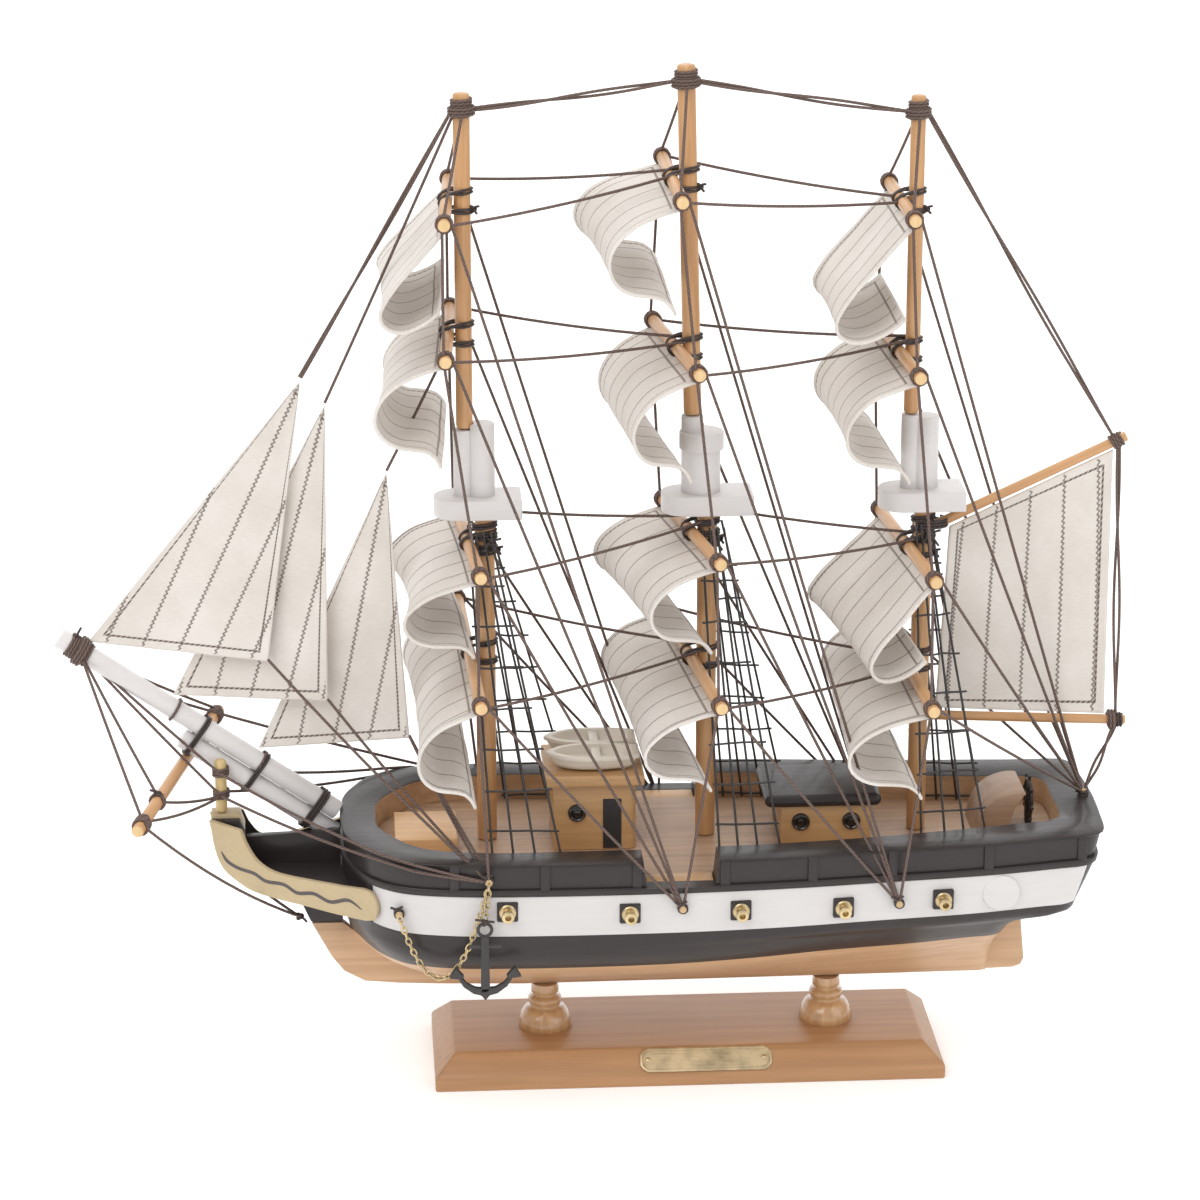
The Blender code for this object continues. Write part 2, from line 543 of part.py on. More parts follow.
for name, lower_x, lower_radius, heel_x, head_x, heel, head, upper_radius, fore, aft in MASTS:
    foot = DECK_TOP + sheer(lower_x) + GAP
    piece(name + "_lower_mast", dowel((lower_x, 0, foot), (lower_x, 0, LOWER_TOP), lower_radius, 14), HONEY_WOOD)
    top = top_platform(fore, aft)
    for x, radius, z in TOP_POSTS[name]:
        top = joined(top, turned((x, 0, TOP_FLOOR - 1), (x, 0, z), ((0, radius), (1, radius)), 16))
    step = upper_radius + GAP
    top = cut(top, turned((heel_x, 0, heel - GAP), (heel_x, 0, heel + STEP_DEPTH), ((0, step), (1, step)), 14))
    if name == "main":
        x = TOP_POSTS[name][0][0]
        top = joined(top, turned((x, 0, MAIN_COLLAR_LOW), (x, 0, MAIN_COLLAR_HIGH),
                                 ((0, MAIN_COLLAR_RADIUS), (1, MAIN_COLLAR_RADIUS)), 18))
    piece(name + "_top", top, WHITE_PAINT)
    upper = turned((heel_x, 0, heel), (head_x, 0, head),
                   ((0, upper_radius), (0.97, upper_radius), (0.985, upper_radius * 0.85), (1, upper_radius * 0.4)),
                   14)
    piece(name + "_upper_mast", upper, HONEY_WOOD)


def mast_at(name, z):
    """Distance aft and radius of a mast at a height."""
    row = [mast for mast in MASTS if mast[0] == name][0]
    lower_x, lower_radius, heel_x, head_x, heel, head, upper_radius = row[1:8]
    if z < LOWER_TOP:
        return lower_x, lower_radius
    return heel_x + (head_x - heel_x) * (z - heel) / (head - heel), upper_radius


# Yards: dowels across the front of the masts, each braced round by a small angle

YARD_RADIUS = 1.8


def yard_ends(x, z, half, angle):
    """Port and starboard ends of a yard."""
    reach = Vector((-math.sin(math.radians(angle)), math.cos(math.radians(angle)), 0)) * half
    centre = Vector((x, 0, z))
    return centre - reach, centre + reach


# mast, yard, height, half length, angle
YARDS = (("fore", "royal", 268.7, 34.0, -2.7), ("fore", "topgallant", 229.5, 35.0, -2.7),
         ("fore", "topsail", 166.2, 38.0, 4.0), ("fore", "course", 132.2, 53.6, 2.0),
         ("main", "royal", 274.3, 34.3, 0.6), ("main", "topgallant", 224.5, 35.2, 7.1),
         ("main", "topsail", 168.3, 36.2, 9.5), ("main", "course", 129.4, 50.2, 6.0),
         ("mizzen", "royal", 266.9, 28.8, 0.3), ("mizzen", "topgallant", 222.5, 35.0, 3.0),
         ("mizzen", "topsail", 162.8, 39.6, 5.0), ("mizzen", "course", 127.0, 50.0, 2.5))
yard_places = {}
for mast, yard, z, half, angle in YARDS:
    mast_x, mast_radius = mast_at(mast, z)
    x = mast_x - (mast_radius + YARD_RADIUS + GAP) / math.cos(math.radians(angle))
    yard_places[mast, yard] = (x, z, half, angle)
    near, far = yard_ends(x, z, half, angle)
    piece(mast + "_" + yard + "_yard", dowel(near, far, YARD_RADIUS, 10), HONEY_WOOD, origin=(x, 0, z))

SPRITSAIL_YARD = ((-134.8, -52.0, 96.8), (-114.1, 47.0, 98.5))
piece("spritsail_yard", dowel(*SPRITSAIL_YARD, YARD_RADIUS, 10), HONEY_WOOD)

# Square sails: stiff cloth that swings forward from its yard, bellies, and curls back at the foot

CLOTH_THICK = 0.5
# share of the depth, share of the drop
CURL = ((0.0, 0.0), (0.13, 0.02), (0.35, 0.07), (0.62, 0.15), (0.85, 0.28), (0.98, 0.43), (0.99, 0.58),
        (0.88, 0.72), (0.68, 0.80), (0.45, 0.82), (0.25, 0.85), (0.14, 0.92), (0.08, 1.0))
SCOOP = ((0.0, 0.0), (0.12, 0.08), (0.33, 0.24), (0.56, 0.42), (0.77, 0.58), (0.92, 0.72), (1.0, 0.84),
         (0.95, 0.94), (0.80, 1.0), (0.60, 1.0), (0.40, 0.95), (0.22, 0.88), (0.08, 0.80))
# mast, sail, profile, half width at the foot, port depth, drop, starboard depth, drop, share left amidships
SAILS = (("fore", "royal", SCOOP, 31.0, 18.5, 29.0, 21.5, 27.0, 0.95),
         ("fore", "topgallant", CURL, 31.0, 20.5, 29.7, 20.0, 28.0, 0.95),
         ("fore", "topsail", CURL, 34.0, 22.0, 23.0, 21.0, 23.0, 0.84),
         ("fore", "course", CURL, 46.0, 18.0, 30.8, 17.0, 28.0, 0.90),
         ("main", "royal", CURL, 31.0, 20.5, 30.7, 26.0, 28.0, 0.95),
         ("main", "topgallant", CURL, 31.0, 18.5, 30.4, 16.5, 30.0, 1.0),
         ("main", "topsail", CURL, 33.0, 20.0, 25.6, 21.5, 25.0, 0.95),
         ("main", "course", CURL, 45.0, 21.8, 24.7, 18.6, 24.0, 0.95),
         ("mizzen", "royal", SCOOP, 27.0, 22.0, 33.2, 22.0, 32.0, 0.95),
         ("mizzen", "topgallant", CURL, 31.0, 20.4, 29.9, 19.0, 29.0, 0.95),
         ("mizzen", "topsail", SCOOP, 36.0, 18.0, 28.2, 22.0, 27.0, 0.95),
         ("mizzen", "course", CURL, 45.0, 24.0, 26.2, 17.0, 25.0, 0.95))
SPAN_STEPS = 6
HEAD_INSET = 3.0
HEAD_DROP = YARD_RADIUS + GAP + CLOTH_THICK / 2

for mast, sail, profile, foot_half, near_depth, near_drop, far_depth, far_drop, middle_share in SAILS:
    x, z, half, angle = yard_places[mast, sail]
    turn = math.radians(angle)
    head_half = half - HEAD_INSET
    rows = []
    for depth_share, drop_share in profile:
        row = []
        for k in range(SPAN_STEPS + 1):
            span = 2 * k / SPAN_STEPS - 1
            mix = (span + 1) / 2
            hollow = middle_share + (1 - middle_share) * span * span
            depth = (near_depth + (far_depth - near_depth) * mix) * hollow
            drop = near_drop + (far_drop - near_drop) * mix
            out = span * (head_half + (foot_half - head_half) * drop_share)
            row.append((x - out * math.sin(turn) - depth * depth_share, out * math.cos(turn),
                        z - HEAD_DROP - drop * drop_share))
        rows.append(row)
    piece(mast + "_" + sail + "_sail", cloth(rows, CLOTH_THICK), CANVAS, origin=(x, 0, z))

# Gaff and boom behind the mizzen mast, with the spanker between them

GAFF_RADIUS = 1.45
GAFF = ((101.6, 0, 168.6), (157.8, 0, 194.9))
BOOM = ((101.0, 0, 108.6), (160.9, 0, 105.7))
piece("gaff", dowel(*GAFF, GAFF_RADIUS, 10), HONEY_WOOD)
piece("boom", dowel(*BOOM, GAFF_RADIUS, 10), HONEY_WOOD)


def flat_sail(corners, steps):
    """A grid between four corners: head fore, head aft, foot aft, foot fore."""
    head_fore, head_aft, foot_aft, foot_fore = [Vector(c) for c in corners]
    rows = []
    for i in range(steps + 1):
        down = i / steps
        fore, aft = head_fore.lerp(foot_fore, down), head_aft.lerp(foot_aft, down)
        rows.append([fore.lerp(aft, k / steps) for k in range(steps + 1)])
    return rows


SPANKER = ((105.7, 0, 168.0), (153.9, 0, 190.8), (154.4, 0, 107.9), (102.9, 0, 110.9))
piece("spanker", cloth(flat_sail(SPANKER, 4), CLOTH_THICK), CANVAS)

# Jibs: three-cornered sails, their luffs in the middle of the ship and their clews drawn to port

CLEW_PULL = 6.0
# name, head (x, y, z), tack x, height of the tack over the jib boom's top, clew (x, z)
JIBS = (("outer", (-85.9, 2.0, 215.2), -150.5, 0.9, (-97.2, 132.0)),
        ("middle", (-78.9, 1.9, 207.8), -126.0, 0.7, (-79.8, 119.2)),
        ("inner", (-61.2, 1.0, 187.2), -101.0, 0.7, (-55.8, 107.0)))
JIB_BEAK = 0.02  # share of the leech that the head is wide


def boom_top(x):
    """Height of the jib boom's upper side."""
    fore, aft = Vector(JIB_BOOM[0]), Vector(JIB_BOOM[1])
    slope = (aft.z - fore.z) / (aft.x - fore.x)
    return fore.z + slope * (x - fore.x) + SPAR_RADIUS * math.hypot(1, slope)


for name, head, tack_x, tack_rise, clew in JIBS:
    head, tack = Vector(head), Vector((tack_x, SPAR_SIDE, boom_top(tack_x) + tack_rise))
    clew = Vector((clew[0], -CLEW_PULL, clew[1]))
    beside = head.lerp(clew, JIB_BEAK)
    piece("jib_" + name, cloth(flat_sail((head, beside, clew, tack), 4), CLOTH_THICK), CANVAS)

# Fore cabin: walls, overhanging roof slab, a door and a porthole on each side

CABIN_FORE, CABIN_AFT, CABIN_HALF = -13.2, 11.7, 11.8
CABIN_FOOT = DECK_TOP + GAP + 0.1
ROOF_FORE, ROOF_AFT, ROOF_HALF, ROOF_UNDER, ROOF_TOP = -15.6, 14.0, 14.6, 93.2, 96.6
DOOR_FORE, DOOR_AFT, DOOR_TOP = 1.7, 7.2, 88.3
PORTHOLE_RADIUS, PORTHOLE_THICK, TRIM_THICK = 2.8, 1.0, 0.4
ROUND = 2.5
cabin_plan = [(CABIN_FORE, -CABIN_HALF), (CABIN_AFT - ROUND, -CABIN_HALF), (CABIN_AFT, ROUND - CABIN_HALF),
              (CABIN_AFT, CABIN_HALF - ROUND), (CABIN_AFT - ROUND, CABIN_HALF), (CABIN_FORE, CABIN_HALF)]
cabin = prism(cabin_plan, CABIN_FOOT, ROOF_UNDER + 0.5, "Z")
cabin = joined(cabin, block((ROOF_FORE, -ROOF_HALF, ROOF_UNDER), (ROOF_AFT, ROOF_HALF, ROOF_TOP)))


def porthole(x, z, wall, side):
    y = side * wall
    return turned((x, y - side, z), (x, y + side * PORTHOLE_THICK, z),
                  ((0, PORTHOLE_RADIUS), (0.7, PORTHOLE_RADIUS), (1, PORTHOLE_RADIUS - 0.7)), 14)


for side in (PORT, STARBOARD):
    inner, outer = sorted((side * (CABIN_HALF - 1), side * (CABIN_HALF + TRIM_THICK)))
    cabin = joined(cabin, block((DOOR_FORE, inner, CABIN_FOOT + 0.1), (DOOR_AFT, outer, DOOR_TOP)))
    cabin = joined(cabin, porthole(-6.1, 84.0, CABIN_HALF, side))
piece("fore_cabin", cabin, HONEY_WOOD)

# Two open rowing boats lie side by side on the fore cabin's roof

BOAT_FORE, BOAT_AFT, BOAT_HALF, BOAT_HEIGHT = -15.2, 12.6, 6.9, 5.2
# share of the length, share of the breadth
BOAT_PLAN = ((0.0, 0.04), (0.06, 0.35), (0.16, 0.66), (0.30, 0.90), (0.48, 1.0), (0.68, 0.97), (0.86, 0.84),
             (1.0, 0.66))


def boat_ring(middle, grow, shorten, z):
    half = [(BOAT_FORE + shorten + share * (BOAT_AFT - BOAT_FORE - 2 * shorten), max(width * BOAT_HALF * grow, 0.2))
            for share, width in BOAT_PLAN]
    return [(x, middle - y, z) for x, y in half] + [(x, middle + y, z) for x, y in reversed(half)]


boats = None
boat_foot = ROOF_TOP + GAP
for middle in (-6.8, 6.8):
    shell = from_rings([boat_ring(middle, 0.55, 4.0, boat_foot), boat_ring(middle, 0.86, 1.6, boat_foot + 2.2),
                        boat_ring(middle, 0.94, 0.8, boat_foot + 4.2), boat_ring(middle, 1.0, 0.0, boat_foot + 4.4),
                        boat_ring(middle, 1.0, 0.0, boat_foot + BOAT_HEIGHT)])
    inside = from_rings([boat_ring(middle, 0.55, 5.4, boat_foot + 2.4), boat_ring(middle, 0.72, 4.4, boat_foot + 9)])
    shell = cut(shell, inside)
    seat = block((-1.5, middle - 5.4, boat_foot + 3.6), (1.3, middle + 5.4, boat_foot + 4.6))
    shell = joined(shell, seat)
    boats = shell if boats is None else joined(boats, shell)
piece("rowboats", boats, CREAM_PLASTIC)

# Aft cabin: natural walls with two portholes a side, and a black roof with chamfered edges

AFT_FORE, AFT_AFT, AFT_HALF, AFT_WALL_TOP = 55.3, 82.3, 12.5, 84.5
AFT_ROOF_FORE, AFT_ROOF_AFT, AFT_ROOF_HALF, AFT_ROOF_LIP, AFT_ROOF_TOP = 50.2, 85.4, 14.6, 86.7, 88.7
AFT_CHAMFER = 3.0
aft_cabin = block((AFT_FORE, -AFT_HALF, CABIN_FOOT + 0.1), (AFT_AFT, AFT_HALF, AFT_WALL_TOP))
for side in (PORT, STARBOARD):
    for x in (61.2, 76.5):
        aft_cabin = joined(aft_cabin, porthole(x, 79.8, AFT_HALF, side))
piece("aft_cabin", aft_cabin, HONEY_WOOD)


def roof_ring(inset, z):
    return [(x, y, z) for x, y in ((AFT_ROOF_FORE + inset, inset - AFT_ROOF_HALF),
                                   (AFT_ROOF_AFT - inset, inset - AFT_ROOF_HALF),
                                   (AFT_ROOF_AFT - inset, AFT_ROOF_HALF - inset),
                                   (AFT_ROOF_FORE + inset, AFT_ROOF_HALF - inset))]


piece("aft_cabin_roof", from_rings([roof_ring(0, AFT_WALL_TOP + GAP), roof_ring(0, AFT_ROOF_LIP),
                                    roof_ring(AFT_CHAMFER, AFT_ROOF_TOP)]), BLACK_PAINT)

# The anchor hangs by its ring and swings about it

ANCHOR_X, ANCHOR_Y, ANCHOR_Z = -35.2, -47.0, 61.6
RING_RADIUS, RING_WIRE = 2.0, 0.5
SHANK_HALF, SHANK_THICK = 1.2, 0.8
CROWN_DROP = 22.2
# distance aft of the shank, height above the crown: half of the crescent's lower and upper edge, and a fluke
ARM_LOWER = ((1.2, 1.6), (3.5, 2.2), (6.4, 4.4), (8.2, 7.4))
ARM_UPPER = ((7.2, 7.8), (5.4, 5.6), (2.9, 4.2), (1.2, 4.0))
FLUKE = ((7.2, 7.0), (10.6, 7.4), (8.7, 10.6), (6.2, 7.8))
STOCK_DROP, STOCK_HALF, STOCK_RADIUS = 5.2, 4.8, 0.6
crown_z = ANCHOR_Z - CROWN_DROP
layers = (ANCHOR_Y - SHANK_THICK, ANCHOR_Y + SHANK_THICK)


def anchor_outline(points):
    return [(ANCHOR_X + x, crown_z + z) for x, z in points]


crescent = [(0, 0)] + list(ARM_LOWER) + list(ARM_UPPER)
crescent += [(-x, z) for x, z in reversed(ARM_UPPER)] + [(-x, z) for x, z in reversed(ARM_LOWER)]
anchor = collar((ANCHOR_X, ANCHOR_Y, ANCHOR_Z), (0, 1, 0), RING_RADIUS - RING_WIRE, RING_RADIUS + RING_WIRE,
                2 * RING_WIRE, 14)
shank = block((ANCHOR_X - SHANK_HALF, layers[0], crown_z + 2),
              (ANCHOR_X + SHANK_HALF, layers[1], ANCHOR_Z - RING_RADIUS))
anchor = joined(anchor, shank, prism(anchor_outline(crescent), *layers, "Y"))
for sign in (-1, 1):
    fluke = anchor_outline([(sign * x, z) for x, z in FLUKE])
    anchor = joined(anchor, prism(fluke, layers[0] - 0.2, layers[1] + 0.2, "Y"))
stock_z = ANCHOR_Z - STOCK_DROP
stock = turned((ANCHOR_X - STOCK_HALF, ANCHOR_Y, stock_z), (ANCHOR_X + STOCK_HALF, ANCHOR_Y, stock_z),
               ((0, STOCK_RADIUS), (1, STOCK_RADIUS)), 8)
piece("anchor", joined(anchor, stock), GUN_METAL, origin=(ANCHOR_X, ANCHOR_Y, ANCHOR_Z))

# The anchor chain: from its peg it hangs in a bight, rises to the side peg and drops to the anchor's ring.
# Its oval links are turned a quarter one after another, and each bites into the next to make one solid.

CHAIN_SAG, CHAIN_STEPS, CHAIN_CLEAR = 24.4, 60, 0.9
LINK_HALF, LINK_WIDE, LINK_WIRE, LINK_BITE = 1.15, 0.65, 0.28, 0.34
LINK_STEPS, WIRE_SIDES = 8, 4


def chain_link(centre, run, side):
    """An oval ring of wire, long along its run and wide to its side."""
    through = run.cross(side)
    shape = bmesh.new()
    rows = []
    for k in range(LINK_STEPS):
        turn = 2 * math.pi * (k + 0.5) / LINK_STEPS
        spine = centre + run * LINK_HALF * math.cos(turn) + side * LINK_WIDE * math.sin(turn)
        out = (run * math.cos(turn) / LINK_HALF + side * math.sin(turn) / LINK_WIDE).normalized()
        angles = [2 * math.pi * (m + 0.5) / WIRE_SIDES for m in range(WIRE_SIDES)]
        ring = [spine + (out * math.cos(a) + through * math.sin(a)) * LINK_WIRE for a in angles]
        rows.append([shape.verts.new(point) for point in ring])
    for k in range(LINK_STEPS):
        here, there = rows[k], rows[(k + 1) % LINK_STEPS]
        for m in range(WIRE_SIDES):
            n = (m + 1) % WIRE_SIDES
            shape.faces.new((here[m], there[m], there[n], here[n]))
    bmesh.ops.recalc_face_normals(shape, faces=shape.faces[:])
    return shape


chain_x, chain_z = BAND_PEGS[0]
chain_peg = Vector((chain_x, PORT * (half_breadth(chain_x, chain_z) + PEG_REACH + CHAIN_CLEAR), chain_z))
side_x, side_z = SIDE_PEG
side_peg = Vector((side_x, PORT * (half_breadth(side_x, side_z) + PEG_REACH + CHAIN_CLEAR), side_z))
drop_end = Vector((ANCHOR_X, ANCHOR_Y, ANCHOR_Z + RING_RADIUS + RING_WIRE + GAP))
chain_line = []
for k in range(CHAIN_STEPS + 1):
    share = k / CHAIN_STEPS
    chain_line.append(chain_peg.lerp(side_peg, share) - Vector((0, 0, 4 * CHAIN_SAG * share * (1 - share))))
chain_line.append(drop_end)
reaches = [0.0]
for here, there in zip(chain_line, chain_line[1:]):
    reaches.append(reaches[-1] + (there - here).length)


def along_chain(distance):
    """The place and direction at a distance along the chain's line."""
    for i in range(len(chain_line) - 1):
        if distance <= reaches[i + 1] or i == len(chain_line) - 2:
            run = (chain_line[i + 1] - chain_line[i]).normalized()
            return chain_line[i] + run * (distance - reaches[i]), run


link_end = LINK_HALF + LINK_WIRE
links = round((reaches[-1] - 2 * link_end) / (2 * LINK_HALF - LINK_BITE))
chain = None
for k in range(links + 1):
    centre, run = along_chain(link_end + (reaches[-1] - 2 * link_end) * k / links)
    side = run.cross(Vector((0, 1, 0))).normalized()
    if k % 2:
        side = run.cross(side)
    made = chain_link(centre, run, side)
    chain = made if chain is None else joined(chain, made)
piece("anchor_chain", chain, BRASS)

# The main stay runs from the jib boom's tip over the mast heads to the gaff, the boom and the stern

STAY_RADIUS, COLLAR_THICK, LUFF_CLEAR = 0.5, 1.1, 1.05
MAST_COLLAR_DROP, MAST_COLLAR_WIDTH, SPAR_COLLAR_BACK = 7.0, 3.2, 2.2


def spar_collar(start, end, back, radius, width):
    """Place, direction, hole radius and width of a collar near a spar's start."""
    run = (Vector(end) - Vector(start)).normalized()
    return Vector(start) + run * back, run, radius + GAP, width


def leave(ring, toward):
    """The point in a collar's wall where a stay leaves it towards a place."""
    centre, direction, hole, width = ring
    out = (Vector(toward) - centre)
    out -= direction * out.dot(direction)
    return centre + out.normalized() * (hole + COLLAR_THICK / 2)


rings = [spar_collar(*JIB_BOOM, 3.0, SPAR_RADIUS, 4.0)]
for row in MASTS:
    heel_x, head_x, heel, head, radius = row[3:8]
    rings.append(spar_collar((head_x, 0, head), (heel_x, 0, heel), MAST_COLLAR_DROP, radius, MAST_COLLAR_WIDTH))
rings.append(spar_collar(*reversed(GAFF), SPAR_COLLAR_BACK, GAFF_RADIUS, 2.4))
rings.append(spar_collar(*reversed(BOOM), SPAR_COLLAR_BACK, GAFF_RADIUS, 2.4))
peg_foot = Vector((STERN_PEG_X, 0, STERN_PEG_TOP))
rings.append(spar_collar(peg_foot, peg_foot - Vector((0, 0, 3)), 0.8, STERN_PEG_RADIUS, 1.2))

# The outer jib's luff, which the first stretch of the stay passes just in front of
outer_head, outer_tack_x = JIBS[0][1], JIBS[0][2]
luff_top = Vector(outer_head)
luff_foot = Vector((outer_tack_x, SPAR_SIDE, boom_top(outer_tack_x) + JIBS[0][3]))
luff_run = (luff_top - luff_foot).normalized()
clear = Vector((-luff_run.z, 0, luff_run.x)) * LUFF_CLEAR

stays = None
for here, there in zip(rings, rings[1:]):
    made = collar(*here[:2], here[2], here[2] + COLLAR_THICK, here[3])
    stays = made if stays is None else joined(stays, made)
    points = [leave(here, there[0]), leave(there, here[0])]
    if here is rings[0]:
        points = [leave(here, luff_foot + clear), luff_foot + luff_run * 4 + clear, luff_top + clear,
                  leave(there, luff_top)]
    stays = joined(stays, tube(points, STAY_RADIUS))
last = rings[-1]
stays = joined(stays, collar(*last[:2], last[2], last[2] + COLLAR_THICK, last[3]))
piece("stays", stays, THREAD)
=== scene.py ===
# A decorative model of a three-masted sailing ship on its display base: finishes, cloth and rigging.
# Sizes are in millimetres, x aft, y to starboard, z up from the underside of the base.

import math
import random

import bpy
from mathutils import Matrix, Vector, noise


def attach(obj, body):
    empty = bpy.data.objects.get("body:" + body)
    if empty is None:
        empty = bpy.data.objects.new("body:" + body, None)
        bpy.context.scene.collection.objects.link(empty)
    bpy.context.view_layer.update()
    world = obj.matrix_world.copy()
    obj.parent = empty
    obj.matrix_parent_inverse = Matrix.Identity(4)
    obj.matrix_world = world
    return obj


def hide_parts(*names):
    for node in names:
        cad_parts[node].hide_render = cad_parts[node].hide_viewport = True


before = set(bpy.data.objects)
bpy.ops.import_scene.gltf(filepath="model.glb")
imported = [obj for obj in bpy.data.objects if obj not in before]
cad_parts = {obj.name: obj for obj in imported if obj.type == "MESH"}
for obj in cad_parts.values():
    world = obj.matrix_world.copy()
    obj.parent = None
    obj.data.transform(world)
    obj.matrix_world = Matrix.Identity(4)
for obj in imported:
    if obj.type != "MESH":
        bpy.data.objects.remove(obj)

MM = 0.001
PORT, STARBOARD = -1, 1
SIDE_NAMES = {PORT: "port", STARBOARD: "starboard"}
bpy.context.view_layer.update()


# The photograph's view: a long lens a little ahead of the port beam, looking down on the deck.

bpy.ops.object.camera_add(location=(-0.0716, -1.1298, 0.5135),
                          rotation=(math.radians(72.065), 0, math.radians(-3.705)))
camera = bpy.context.object
camera.data.sensor_width = 36.0
camera.data.lens = 120.0
camera.data.clip_start = 0.05
bpy.context.scene.camera = camera
bpy.context.scene.view_settings.view_transform = "Standard"


# Plain studio: a pale floor that runs up into a backdrop, and broad soft lamps.

class Signal:
    """A node socket that Python's arithmetic works on."""

    def __init__(self, finish, socket):
        self.finish = finish
        self.socket = socket

    def reckon(self, operation, *others):
        sockets = {0: self}
        for place, other in enumerate(others):
            sockets[place + 1] = other
        return self.finish.node("ShaderNodeMath", dict(operation=operation), sockets)

    def __add__(self, other):
        return self.reckon("ADD", other)

    def __sub__(self, other):
        return self.reckon("SUBTRACT", other)

    def __mul__(self, other):
        return self.reckon("MULTIPLY", other)

    def __truediv__(self, other):
        return self.reckon("DIVIDE", other)

    def __rsub__(self, other):
        return self * -1 + other

    __radd__ = __add__

    def bands(self, pitch):
        """Distance from the nearest of the lines that lie a pitch apart."""
        return self.reckon("PINGPONG", pitch / 2)

    def below(self, limit, soft):
        """1 where the signal is under the limit, 0 over it, with a soft step between."""
        return ((limit - self) / soft + 0.5).reckon("MINIMUM", 1.0).reckon("MAXIMUM", 0.0)


class Finish:
    """A material whose nodes are written as expressions."""

    def __init__(self, name, **shader):
        self.material = bpy.data.materials.new(name)
        self.material.use_nodes = True
        self.tree = self.material.node_tree
        self.shader = self.tree.nodes["Principled BSDF"]
        for socket, value in shader.items():
            self.shader.inputs[socket.replace("_", " ")].default_value = value

    def node(self, kind, settings, sockets, output=0):
        made = self.tree.nodes.new(kind)
        for name, value in settings.items():
            if name == "stops":
                ramp = made.color_ramp
                while len(ramp.elements) < len(value):
                    ramp.elements.new(0.5)
                for element, (place, colour) in zip(ramp.elements, value):
                    element.position = place
                    element.color = (*colour, 1.0)
            else:
                setattr(made, name, value)
        for name, value in sockets.items():
            if isinstance(value, Signal):
                self.tree.links.new(value.socket, made.inputs[name])
            else:
                made.inputs[name].default_value = value
        return Signal(self, made.outputs[output])

    def place(self, scale=(1, 1, 1), turn=(0, 0, 0)):
        """Object coordinates, turned and then stretched."""
        spot = self.node("ShaderNodeTexCoord", {}, {}, "Object")
        spot = self.node("ShaderNodeMapping", {}, {"Vector": spot, "Rotation": turn})
        return self.node("ShaderNodeMapping", {}, {"Vector": spot, "Scale": scale})

    def uv(self, layer):
        """The two numbers of one of the piece's UV maps."""
        spot = self.node("ShaderNodeUVMap", dict(uv_map=layer), {})
        return [self.node("ShaderNodeSeparateXYZ", {}, {0: spot}, axis) for axis in "XY"]

    def vector(self, x, y, z):
        return self.node("ShaderNodeCombineXYZ", {}, {0: x, 1: y, 2: z})

    def noise(self, spot, scale, detail=3.0, distortion=0.0):
        return self.node("ShaderNodeTexNoise", {}, {"Vector": spot, "Scale": scale, "Detail": detail,
                                                    "Distortion": distortion}, "Fac")

    def ramp(self, value, *stops):
        return self.node("ShaderNodeValToRGB", dict(stops=stops), {0: value})

    def blend(self, share, first, second):
        """A colour signal mixed with a plain colour by a share."""
        return self.node("ShaderNodeMix", dict(data_type="RGBA"), {0: share, 6: first, 7: (*second, 1.0)}, 2)

    def feed(self, **signals):
        for name, signal in signals.items():
            self.tree.links.new(signal.socket, self.shader.inputs[name.replace("_", " ")])

    def relief(self, height, depth):
        """Raise the surface by a height signal times a depth in metres."""
        bump = self.node("ShaderNodeBump", {}, {"Height": height, "Distance": depth, "Strength": 1.0})
        self.feed(Normal=bump)


floor_paint = Finish("pale_floor", Roughness=0.9, Base_Color=(0.90, 0.90, 0.90, 1.0),
                     Emission_Color=(1.0, 1.0, 1.0, 1.0), Emission_Strength=0.28)

FLOOR_HALF, WALL_AT, WALL_TOP, COVE = 3.0, 1.6, 3.4, 0.6
bpy.ops.object.select_all(action="DESELECT")
bpy.ops.mesh.primitive_plane_add(size=2 * FLOOR_HALF, location=(0, WALL_AT - FLOOR_HALF, 0))
floor = bpy.context.object
floor.name = "floor"
bpy.ops.object.mode_set(mode="EDIT")
bpy.ops.mesh.select_mode(type="EDGE")
bpy.ops.mesh.select_all(action="DESELECT")
bpy.ops.object.mode_set(mode="OBJECT")
for edge in floor.data.edges:
    edge.select = all(floor.data.vertices[v].co.y > 0 for v in edge.vertices)
bpy.ops.object.mode_set(mode="EDIT")
bpy.ops.mesh.extrude_region_move(TRANSFORM_OT_translate=dict(value=(0, 0, WALL_TOP)))
bpy.ops.object.mode_set(mode="OBJECT")
cove = floor.modifiers.new("cove", "BEVEL")
cove.width = COVE
cove.segments = 12
bpy.ops.object.modifier_apply(modifier="cove")
bpy.ops.object.shade_smooth()
floor.data.materials.append(floor_paint.material)

# name, place, size, strength, the point it faces
LAMPS = (("key", (-1.1, -1.5, 1.9), 1.6, 24.0, (0, 0, 0.1)),
         ("fill", (1.6, -1.2, 1.2), 1.8, 12.0, (0, 0, 0.12)),
         ("top", (0.1, 0.3, 2.2), 2.0, 16.0, (0, 0, 0.0)))
for name, place, size, strength, target in LAMPS:
    bpy.ops.object.light_add(type="AREA", location=place)
    lamp = bpy.context.object
    lamp.name = name + "_lamp"
    lamp.data.size = size
    lamp.data.energy = strength
    lamp.rotation_euler = (Vector(target) - Vector(place)).to_track_quat("-Z", "Y").to_euler()
world = bpy.context.scene.world or bpy.data.worlds.new("studio")
bpy.context.scene.world = world
world.use_nodes = True
sky = world.node_tree.nodes["Background"].inputs
sky["Color"].default_value = (1.0, 1.0, 1.0, 1.0)
sky["Strength"].default_value = 0.63


# The base: one block of stained wood whose upper edges slope in, sanded and thinly varnished.
# The two pedestals are turned on a lathe, heavily varnished and glued on.

